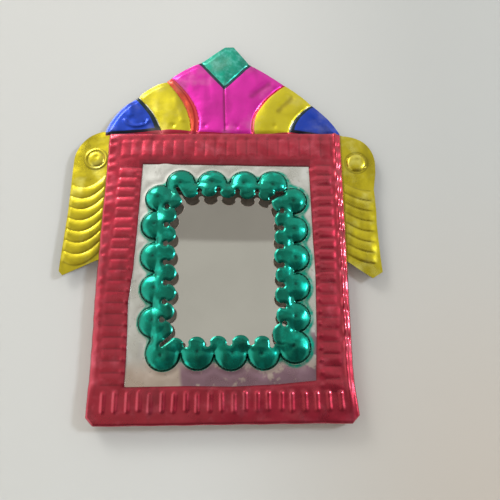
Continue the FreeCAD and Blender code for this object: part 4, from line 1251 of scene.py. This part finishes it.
@dataclass(frozen=True)
class ScallopedRing:
    """Raised green ring: hollow domes outside, a band, and petals that overhang the glass."""

    spacing: float = 0.27
    gauge: float = 0.3
    skirt: float = 0.5
    dome_rise: float = 1.25
    crown: float = 1.35
    dome_reach: float = 1.5
    band_rise: float = 2.68
    band_reach: float = 4.2
    fall: float = 0.55
    slope_start: float = 4.2
    slope_width: float = 7.5
    dome_blend: float = 1.3
    punch_deep: float = 0.16
    hollow_deep: float = 0.14
    unevenness: float = 0.1
    skirt_out: float = 0.04
    skirt_rise: float = 0.14
    petal_radius: float = 3.3
    lobe_radius: float = 4.1
    bite_radius: float = 1.0
    slit_radius: float = 0.75
    brink_drop: float = 0.35
    brink_reach: float = 1.1
    band_low: Place = (-25.6, 23.9)
    band_high: Place = (26.6, 89.2)
    band_cut: float = 8.0
    hole_low: Place = (-20.4, 27.0)
    hole_high: Place = (21.9, 85.6)
    domes: tuple[tuple[float, float, float], ...] = (
        (-17.1, 89.4, 5.45), (-4.8, 89.0, 5.6), (7.7, 88.9, 5.45), (18.9, 88.8, 5.55), (26.8, 82.1, 5.1),
        (26.85, 70.3, 5.15), (27.1, 59.2, 5.15), (27.0, 48.0, 5.15), (26.7, 36.7, 5.15), (26.0, 26.2, 5.7),
        (14.9, 24.0, 5.75), (3.3, 23.9, 5.85), (-8.6, 24.0, 5.85), (-21.0, 23.8, 6.0), (-24.9, 35.0, 5.45),
        (-24.95, 47.3, 5.4), (-25.5, 59.5, 5.5), (-26.0, 72.1, 5.45), (-25.1, 83.2, 5.3))
    petals: tuple[Place, ...] = (
        (-13.1, 86.1), (-5.8, 86.5), (1.6, 86.1), (9.2, 85.6), (16.5, 85.0),
        (-16.6, 25.9), (-8.9, 26.3), (-1.2, 26.6), (6.8, 26.9), (14.5, 26.6),
        (-21.3, 75.8), (-21.2, 68.0), (-21.1, 60.6), (-20.5, 53.0), (-20.3, 45.5), (-20.6, 38.6),
        (-21.0, 32.0), (22.8, 73.9), (22.6, 66.9), (22.4, 59.5), (22.8, 52.2), (22.5, 44.7), (22.9, 37.2))
    lobes: tuple[Place, ...] = ((-20.3, 82.3), (22.6, 80.8), (22.2, 30.4))
    bites: tuple[Place, ...] = (
        (-21.7, 79.2), (-21.7, 71.7), (-21.6, 64.3), (-21.4, 56.9), (-20.9, 49.2), (-21.0, 42.1),
        (-21.6, 35.5), (22.4, 77.4), (22.1, 70.5), (22.0, 63.2), (22.1, 55.9), (22.0, 48.3), (22.4, 40.7),
        (22.6, 34.2), (-9.5, 85.9), (-2.1, 86.1), (5.3, 85.4), (12.9, 85.3), (-12.7, 26.7), (-5.0, 27.0),
        (2.8, 27.4), (10.7, 27.5))
    slits: tuple[tuple[Place, Place], ...] = (
        ((-18.1, 86.7), (-15.6, 82.6)), ((18.3, 82.4), (22.7, 85.2)),
        ((-21.3, 26.6), (-17.8, 29.8)), ((17.6, 30.2), (18.0, 26.4)))

    def band(self, x: np.ndarray, z: np.ndarray, grow: float = 0.0) -> np.ndarray:
        """Distance outside the band's outer edge, which has its corners cut."""
        left, low = self.band_low[0] - grow, self.band_low[1] - grow
        right, high = self.band_high[0] + grow, self.band_high[1] + grow
        cut = self.band_cut
        return plate(((left, low + cut / 4), (left, high - cut), (left + cut, high), (right - cut, high),
                      (right, high - cut), (right, low + cut / 4), (right - cut / 4, low),
                      (left + cut / 4, low)))(x, z)

    def domes_field(self, x: np.ndarray, z: np.ndarray, grow: float = 0.0, blend: float = 0.0) -> np.ndarray:
        """Distance outside the feet of the domes."""
        nearest = np.full(np.shape(x), FAR)
        for across, up, radius in self.domes:
            nearest = soft_min(nearest, np.hypot(x - across, z - up) - radius - grow, blend)
        return nearest

    def foot(self, x: np.ndarray, z: np.ndarray) -> np.ndarray:
        """Distance outside the foot of the domes' and the band's outer walls."""
        return soft_min(self.domes_field(x, z), self.band(x, z), 0.8)

    def brink(self, x: np.ndarray, z: np.ndarray) -> np.ndarray:
        """Distance outside the inner edge, which the petals make, towards the glass."""
        hole = -rectangle(self.hole_low, self.hole_high)(x, z)
        petals = discs(self.petals, self.petal_radius)(x, z)
        lobes = discs(self.lobes, self.lobe_radius)(x, z)
        edge = soft_min(soft_min(hole, petals, 0.4), lobes, 0.5)
        edge = -soft_min(-edge, discs(self.bites, self.bite_radius)(x, z), 0.5)
        for start, end in self.slits:
            edge = np.maximum(edge, -slot(start, end, self.slit_radius)(x, z))
        return edge

    def outline(self, x: np.ndarray, z: np.ndarray) -> np.ndarray:
        """Distance outside the whole ring with its skirt."""
        skirt = soft_min(self.domes_field(x, z, self.skirt), self.band(x, z, self.skirt), 1.5)
        return np.maximum(skirt, self.brink(x, z))

    def inward(self, x: np.ndarray, z: np.ndarray) -> np.ndarray:
        """How far towards the glass a place lies on the band and its petals, from 0 to 1."""
        off_hole = rectangle(self.hole_low, self.hole_high)(x, z)
        return np.clip((self.slope_start - off_hole) / self.slope_width, 0, 1)

    @staticmethod
    def dimple(across: float, up: float) -> Place:
        """Where the mark of the punch lies in a dome, never quite in its middle."""
        chance = np.random.default_rng(int(abs(across * 70 + up * 11)))
        return across + chance.normal(0, 0.35), up + chance.normal(0, 0.35)

    def height(self, x: np.ndarray, z: np.ndarray) -> np.ndarray:
        """Distance from the wall of the struck sheet's front."""
        chance = np.random.default_rng(5)
        top = self.band_rise * shoulder(-self.band(x, z), self.band_reach)
        top = top - self.fall * self.inward(x, z) ** 1.5
        for across, up, radius in self.domes:
            off = np.hypot(x - across, z - up)
            lift = chance.uniform(0.95, 1.06)
            dome = self.dome_rise * shoulder(radius - off, self.dome_reach)
            dome += self.crown * np.clip(1 - (off / radius) ** 2, 0, 1)
            middle = self.dimple(across, up)
            dome -= self.punch_deep * mound(x, z, *middle, 0.8)
            dome -= self.hollow_deep * mound(x, z, *middle, 2.2)
            top = -soft_min(-top, -dome * lift, self.dome_blend)
        ahead = -self.brink(x, z)
        top = top - self.brink_drop * (1 - np.clip(ahead / self.brink_reach, 0, 1)) ** 2
        off_foot = self.foot(x, z)
        top += self.unevenness * ripple(x, z, 5.5, 21) * ease(-off_foot, 1.5)
        skirt = self.skirt_out + self.skirt_rise * ease(off_foot, 0.3)
        return Stack.PANEL.value + np.where(off_foot > 0, skirt, np.maximum(top, self.skirt_out))

    def build(self) -> bpy.types.Object:
        """Cut, crease and strike the ring."""
        blank = Blank("scalloped_green_ring", (-32.4, 16.6), (33.2, 95.8), self.spacing)
        blank.cut(self.outline)
        blank.crease(self.foot)
        places = blank.places()
        x, z = places[:, 0], places[:, 2]
        # Painted shade, with some pooled lacquer, along the foot of the domes and band, the petals' inner
        # edge and the punch marks; painted shade where band and petals slope to the glass.
        groove = soft_line(self.foot(x, z) - 0.1, 0.28)
        brim = 0.35 * soft_line(self.brink(x, z) + 0.3, 0.4)
        pool_shade = np.maximum(np.maximum(groove, brim), 0.3 * ease(self.inward(x, z) - 0.25, 0.5))
        for across, up, _ in self.domes:
            pool_shade = np.maximum(pool_shade, 0.75 * mound(x, z, *self.dimple(across, up), 0.75))
        blank.mark("pool_shade", np.clip(pool_shade, 0, 1))
        blank.strike(self.height)
        piece = blank.thicken(self.gauge, GREEN_LACQUER, UNDER_TIN)
        return set_down(piece, ("scalloped_bezel",), crease=55.0)


@dataclass(frozen=True)
class SilverField:
    """Bare tin panel behind the border's opening, with a window for the glass."""

    ring: ScallopedRing
    spacing: float = 0.5
    gauge: float = 0.4
    low: Place = (-44.5, 2.5)
    high: Place = (44.5, 109.2)
    clip: float = 3.6
    hollow_deep: float = 0.12
    ring_gap: float = 1.6
    unevenness: float = 0.06
    window_low: Place = (-23.05, 24.45)
    window_high: Place = (24.95, 87.95)

    def spill(self, x: np.ndarray, z: np.ndarray) -> np.ndarray:
        """How much green lacquer has run over onto the tin, most of it to the right of the ring."""
        beyond = soft_min(self.ring.domes_field(x, z, 0.0, 2.5), self.ring.band(x, z), 2.5)
        reach = 0.55 + 1.0 * ease(x - 18, 8) + 0.35 * ease(-x - 20, 4) * ease(z - 28, 6)
        reach -= 0.5 * ease(24 - z, 6) * ease(26 - x, 8)
        for across, up in ((-20.0, 96.0), (-33.0, 86.0)):
            reach -= 1.1 * mound(x, z, across, up, 6.0)
        return ease(reach + 0.35 - beyond, 0.55)

    def build(self) -> bpy.types.Object:
        """Cut the panel, with the hollows that hand work leaves in it."""
        (left, low), (right, high), clip = self.low, self.high, self.clip
        sheet = plate(((left, low + clip), (left, high), (right, high), (right, low + clip),
                       (right - clip, low), (left + clip, low)))
        hole = rectangle(self.window_low, self.window_high)
        blank = Blank("silver_field", self.low, self.high, self.spacing)
        blank.cut(lambda x, z: np.maximum(sheet(x, z), -hole(x, z)))
        places = blank.places()
        x, z = places[:, 0], places[:, 2]
        blank.mark("spill", self.spill(x, z))
        hollow = self.hollow_deep * soft_line(self.ring.foot(x, z) - self.ring_gap, 1.1)
        blank.strike(lambda across, up: Stack.PANEL.value - hollow
                     + self.unevenness * ripple(across, up, 14.0, 51) - self.unevenness)
        piece = blank.thicken(self.gauge, FieldTin().make(), UNDER_TIN)
        return set_down(piece, ("mirror_panel",))


@dataclass(frozen=True)
class MirrorGlass:
    """Sheet glass with a silvered back."""

    low: Place = (-25.55, 21.95)
    high: Place = (27.45, 90.45)
    arris: float = 0.25

    def slab(self, name: str, back: float, front: float, arris: float) -> bpy.types.Object:
        """A slab between two distances from the wall, with its arrises taken off."""
        deselect()
        middle = ((self.low[0] + self.high[0]) / 2, -(back + front) / 2, (self.low[1] + self.high[1]) / 2)
        bpy.ops.mesh.primitive_cube_add(size=1, location=middle)
        piece = bpy.context.object
        piece.name = name
        piece.data.name = name
        piece.scale = (self.high[0] - self.low[0], front - back, self.high[1] - self.low[1])
        bpy.ops.object.transform_apply(location=True, rotation=True, scale=True)
        if arris:
            bpy.ops.object.mode_set(mode="EDIT")
            bpy.ops.mesh.select_all(action="SELECT")
            bpy.ops.mesh.bevel(offset=arris, segments=2, affect="EDGES")
            leave()
        return piece

    def build(self) -> list[bpy.types.Object]:
        """The clear glass, and the silvering on its back."""
        glass = self.slab("mirror_glass_sheet", Stack.SILVERING.value, Stack.GLASS.value, self.arris)
        glass.data.materials.append(self.clear())
        set_down(glass, ("mirror_glass",), crease=20.0)
        silver = self.slab("mirror_silvering", Stack.SILVERING.value - 0.1, Stack.SILVERING.value - 0.03, 0)
        silver.data.materials.append(self.silvering())
        set_down(silver, crease=20.0)
        return [glass, silver]

    @staticmethod
    def clear() -> bpy.types.Material:
        """Clear glass with a faint bloom of dust: thin enough to see straight through."""
        material, bench, shader, vector = new_finish("sheet_glass")
        bench.smudged(shader, vector, 90.0, 0.0, 0.05)
        shader.inputs["Metallic"].default_value = 1.0
        shine = bench.add("ShaderNodeFresnel")
        shine.inputs["IOR"].default_value = 1.3
        bench.blended(material, shine.outputs[0], bench.add("ShaderNodeBsdfTransparent"), shader)
        return material

    @staticmethod
    def silvering() -> bpy.types.Material:
        """Silvered back, slightly warm."""
        material, bench, shader, vector = new_finish("silvering")
        cloud = bench.noise(vector, 45.0, detail=3)
        bench.feed(shader.inputs["Base Color"], bench.mix(bench.span(cloud, 0.3, 0.7), paint(229, 226, 220),
                                                          paint(223, 220, 214)))
        shader.inputs["Metallic"].default_value = 1.0
        shader.inputs["Roughness"].default_value = 0.03
        return material


@dataclass(frozen=True)
class Hanger:
    """Wire ring that hangs in the strap on the back of the crest."""

    wire: float = 0.6
    radius: float = 7.0
    out: float = 1.75
    top: float = 137.244
    lap_reach: float = 1.3
    lap_swell: float = 0.08
    lap_shift: float = 0.12

    def build(self) -> bpy.types.Object:
        """Bend the wire into a ring, with a soldered lap at its foot."""
        deselect()
        bpy.ops.mesh.primitive_torus_add(
            location=(0, -self.out, self.top - self.radius), rotation=(math.pi / 2, 0, 0),
            major_segments=96, minor_segments=16, major_radius=self.radius, minor_radius=self.wire)
        ring = bpy.context.object
        ring.name = "wire_ring"
        ring.data.name = "wire_ring"
        bpy.ops.object.transform_apply(location=True, rotation=True, scale=True)
        for point in ring.data.vertices:
            low = point.co.z - (self.top - 2 * self.radius)
            lap = math.exp(-((point.co.x / self.lap_reach) ** 4)) * (low < self.radius)
            point.co.y = -self.out + (point.co.y + self.out) * (1 + self.lap_swell * lap)
            point.co.z += self.lap_shift * lap * (1 if low > 0 else -1) * min(1.0, abs(low) / self.wire)
        ring.data.materials.append(WIRE)
        return set_down(ring, ("hanger_ring",), body="ring", crease=60.0)


@dataclass(frozen=True)
class Solder:
    """Rounded dabs of solder along the seams at the back."""

    name: str
    node: str
    seats: list[tuple[float, float, float]]
    upright: bool
    length: float = 4.4
    height: float = 0.55
    sunk_share: float = 0.98
    seed: int = 3

    def build(self) -> bpy.types.Object:
        """Lay a dab at each seat and join them."""
        chance = np.random.default_rng(self.seed)
        dabs = []
        for across, out, up in self.seats:
            deselect()
            bpy.ops.mesh.primitive_ico_sphere_add(subdivisions=4, radius=1, location=(0, 0, 0))
            dab = bpy.context.object
            long, deep = self.length / 2 * chance.uniform(0.9, 1.0), self.height * self.sunk_share
            dab.scale = (deep, deep, long) if self.upright else (long, deep, deep)
            bpy.ops.object.transform_apply(location=False, rotation=False, scale=True)
            phase = chance.uniform(0, math.tau)
            for point in dab.data.vertices:
                run = point.co.z if self.upright else point.co.x
                swell = 1 + 0.10 * math.sin(run * 2.6 + phase) - 0.05 * math.cos(run * 5.1 + phase)
                point.co.y *= swell
                if self.upright:
                    point.co.x *= swell
                else:
                    point.co.z *= swell
            dab.location = (across, -out, up)
            bpy.ops.object.transform_apply(location=True, rotation=False, scale=False)
            dabs.append(dab)
        deselect()
        for dab in dabs:
            dab.select_set(True)
        bpy.context.view_layer.objects.active = dabs[0]
        bpy.ops.object.join()
        piece = bpy.context.object
        piece.name = self.name
        piece.data.name = self.name
        piece.data.materials.append(SOLDER)
        return set_down(piece, (self.node,), crease=80.0)


def dress_nodes() -> None:
    """Give the construction's own pieces that still show their finishes."""
    finishes = {"glass_clips": UNDER_TIN, "packing_card": CARD, "back_sheet": BACK_TIN,
                "hanger_strap": BACK_TIN}
    for name, finish in finishes.items():
        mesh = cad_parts[name].data
        for index in range(max(1, len(mesh.materials))):
            if len(mesh.materials) <= index:
                mesh.materials.append(finish)
            else:
                mesh.materials[index] = finish
        LOG.info("dressed node %s with %s", name, finish.name)


def make_card() -> bpy.types.Material:
    """Grey pasteboard with fibres."""
    material, bench, shader, vector = new_finish("grey_pasteboard")
    fibre = bench.noise(bench.stretched(vector, (1600, 1600, 500)), 1.0, detail=5, rough=0.7)
    bench.feed(shader.inputs["Base Color"], bench.mix(bench.span(fibre, 0.3, 0.7), paint(140, 132, 120),
                                                      paint(164, 156, 142)))
    shader.inputs["Roughness"].default_value = 0.9
    add_bump(bench, shader, vector, 900.0, 0.00005, 0.00002)
    return material


# Each lacquer's deep colour is also the painted shade that the pool_shade attribute mixes in.
RED_LACQUER = Lacquer("red_lacquer_on_tin", paint(210, 76, 96), paint(184, 40, 62), paint(96, 14, 28),
                      patch=190.0, rough=(0.26, 0.4), coat=1.0).make()
GREEN_LACQUER = Lacquer("green_lacquer_on_tin", paint(4, 196, 168), paint(0, 142, 118), paint(0, 32, 26),
                        patch=240.0, rough=(0.18, 0.3), wave_height=0.00006, coat=0.3).make()
YELLOW_LACQUER = Lacquer("yellow_lacquer_on_tin", paint(226, 214, 96), paint(200, 182, 28),
                         paint(110, 96, 10), patch=170.0, rough=(0.26, 0.4)).make()
BACK_TIN = Tin("dull_tinplate", paint(178, 176, 170), paint(140, 138, 132), rough=(0.34, 0.55)).make()
UNDER_TIN = Tin("bare_tinplate", paint(252, 240, 226), paint(230, 212, 194), rough=(0.45, 0.6),
                metallic=0.1).make()
SOLDER = Tin("soft_solder", paint(176, 176, 176), paint(134, 134, 136), rough=(0.28, 0.5),
             smudge_scale=500.0, wave_height=0.00015).make()
WIRE = Tin("tinned_wire", paint(190, 188, 180), paint(150, 148, 140), rough=(0.22, 0.4),
           smudge_scale=300.0, wave_height=0.00004).make()
CARD = make_card()

LEFT_WING = ((-47.0, 59.4), (-60.9, 53.0), (-62.4, 54.6), (-61.2, 79.0), (-61.0, 99.7, 14.0), (-50.4, 113.5),
             (-47.0, 113.5))
RIGHT_WING = ((47.0, 111.8), (48.4, 111.4, 12.0), (60.5, 98.6), (60.4, 95.0), (59.3, 88.0), (59.6, 78.4),
              (59.4, 73.0), (59.9, 61.0), (60.3, 54.2), (56.4, 51.8), (47.0, 58.5))


class Studio:
    """Plain pale surroundings, soft light, and the camera at the photograph's angle."""

    focus = (0.0101, -0.0053, 0.0598)
    reach = 0.189
    tilt = math.radians(16.3)

    def build(self) -> None:
        """Set up everything that isn't part of the mirror."""
        self.add_surface("backdrop", (0.0, 0.0012, 0.2), (math.pi / 2, 0, 0), 1.6)
        self.add_surface("floor", (0.0, -0.4, -0.07), (0, 0, 0), 1.6).visible_glossy = False
        self.light_world()
        self.add_lamp("key_lamp", (-0.55, -0.62, 0.85), 0.38, 4.4)
        self.add_lamp("right_lamp", (0.62, -0.6, 0.22), 0.12, 3.0, (0.78, 0.86, 1.0))
        self.add_camera()
        bpy.context.scene.view_settings.view_transform = "Standard"

    def add_surface(self, name: str, place: tuple[float, ...], turn: tuple[float, ...],
                    size: float) -> bpy.types.Object:
        """A pale matt surface, with painted shade that makes it dimmer to its lower right, that can be seen
        through from behind.
        """
        deselect()
        bpy.ops.mesh.primitive_plane_add(size=size, location=place, rotation=turn)
        surface = bpy.context.object
        surface.name = name
        bpy.ops.object.transform_apply(location=True, rotation=True, scale=True)
        material, bench, shader, vector = new_finish(f"{name}_paper")
        parts = bench.parts(vector)
        # Painted shade: darker towards the right and the lower right.
        right = bench.span(parts["X"], -0.02, 0.1)
        low = bench.math("MULTIPLY", right, bench.span(parts["Z"], 0.12, -0.04))
        colour = bench.mix(right, paint(208, 207, 202), paint(187, 187, 182))
        bench.feed(shader.inputs["Base Color"], bench.mix(low, colour, paint(193, 185, 174)))
        shader.inputs["Roughness"].default_value = 0.8
        shader.inputs["Specular IOR Level"].default_value = 0.2
        behind = bench.add("ShaderNodeNewGeometry").outputs["Backfacing"]
        bench.blended(material, behind, shader, bench.add("ShaderNodeBsdfTransparent"))
        surface.data.materials.append(material)
        return surface

    def light_world(self) -> None:
        """A pale room that is a little darker higher up in front, and brighter to the sides."""
        world = bpy.data.worlds.new("pale_room")
        bpy.context.scene.world = world
        world.use_nodes = True
        bench = Bench(world.node_tree)
        way = bench.add("ShaderNodeTexCoord").outputs["Generated"]
        parts = bench.parts(way)
        rise, aside = parts["Z"], parts["X"]
        front = bench.math("MULTIPLY", parts["Y"], -1.0)
        room = bench.mix(bench.span(rise, 0.292, 0.302), (0.52, 0.515, 0.47, 1.0), (0.33, 0.317, 0.285, 1.0))
        room = bench.mix(bench.span(rise, 0.375, 0.5), room, (0.78, 0.78, 0.75, 1.0))
        shade = bench.mix(bench.span(aside, -0.15, 0.0), (0.40, 0.34, 0.29, 1.0), (0.16, 0.12, 0.13, 1.0))
        room = bench.mix(bench.span(rise, 0.095, -0.04), room, shade)
        room = bench.mix(bench.span(rise, -0.1, -0.5), room, (0.15, 0.13, 0.13, 1.0))
        room = bench.mix(bench.span(aside, -0.4, -0.7), room, (1.3, 1.31, 1.29, 1.0))
        room = bench.mix(bench.span(aside, 0.5, 0.85), room, (0.8, 0.79, 0.77, 1.0))
        room = bench.mix(bench.span(front, 0.3, -0.05), room, (0.55, 0.545, 0.52, 1.0))
        background = world.node_tree.nodes["Background"]
        bench.feed(background.inputs["Color"], room)
        background.inputs["Strength"].default_value = 1.0

    def add_lamp(self, name: str, place: tuple[float, ...], size: float, power: float,
                 tint: tuple[float, ...] = (1.0, 1.0, 1.0)) -> None:
        """A soft square lamp that faces the mirror."""
        lamp = bpy.data.lights.new(name, "AREA")
        lamp.size = size
        lamp.energy = power
        lamp.color = tint
        holder = bpy.data.objects.new(name, lamp)
        bpy.context.collection.objects.link(holder)
        holder.location = place
        way = holder.location.copy()
        way.z -= self.focus[2]
        holder.rotation_euler = way.to_track_quat("Z", "Y").to_euler()

    def add_camera(self) -> None:
        """The camera that took the photograph, by the fitted perspective."""
        lens = bpy.data.cameras.new("camera")
        lens.lens = 36.0
        lens.sensor_width = 36.0
        camera = bpy.data.objects.new("camera", lens)
        bpy.context.collection.objects.link(camera)
        x, y, z = self.focus
        camera.location = (x, y - self.reach * math.cos(self.tilt), z - self.reach * math.sin(self.tilt))
        camera.rotation_euler = (math.pi / 2 + self.tilt, 0, 0)
        bpy.context.scene.camera = camera


def report(pieces: list[bpy.types.Object]) -> None:
    """Name each finished piece and its number of triangles."""
    for piece in pieces:
        piece.data.calc_loop_triangles()
        LOG.info("%s: %d triangles", piece.name, len(piece.data.loop_triangles))


def main() -> None:
    """Build and dress the mirror from the front to the back, then its surroundings."""
    logging.basicConfig(level=logging.INFO, format="%(name)s: %(message)s")
    border, ring, hanger = Border(), ScallopedRing(), Hanger()
    seam_out, root_length, crest_back, strap_reach = 0.6, 59.1, 2.5, 5.1
    crest_seats = [(share * 2 * border.half_width, seam_out, border.top)
                   for share in (-0.36, -0.12, 0.12, 0.36)]
    wing_seats = [(side * border.half_width, seam_out, border.top - (1 - share) * root_length)
                  for side in (-1, 1) for share in (0.2, 0.55, 0.9)]
    strap_seats = [(0.0, crest_back, hanger.top + side * strap_reach) for side in (-1, 1)]
    pieces = [
        border.build(),
        SilverField(ring).build(),
        ring.build(),
        Crest().build(),
        Wing("wing_left", -1, LEFT_WING, (-52.1, 101.3), -60.6, 2.4, first_flute=58.1, pitch=4.57,
             lean=-0.61, bend=0.072, rise=0.3, skew=0.9, flat=0.75).build(),
        Wing("wing_right", 1, RIGHT_WING, (53.0, 99.5), 57.6, 1.6, first_flute=57.6, pitch=4.24, lean=0.01,
             bend=0.035, rise=0.26, skew=0.8, flat=0.6, boss_radius=3.9, boss_rise=0.9,
             ring_rise=0.0).build(),
        *MirrorGlass().build(),
        hanger.build(),
        Solder("crest_solder_dabs", "crest_solder", crest_seats, False).build(),
        Solder("wing_solder_dabs", "wing_solder", wing_seats, True, seed=4).build(),
        Solder("strap_solder_dabs", "hanger_solder", strap_seats, False, length=2.6, seed=6).build(),
    ]
    dress_nodes()
    report(pieces)
    Studio().build()


if __name__ == "__main__":
    main()
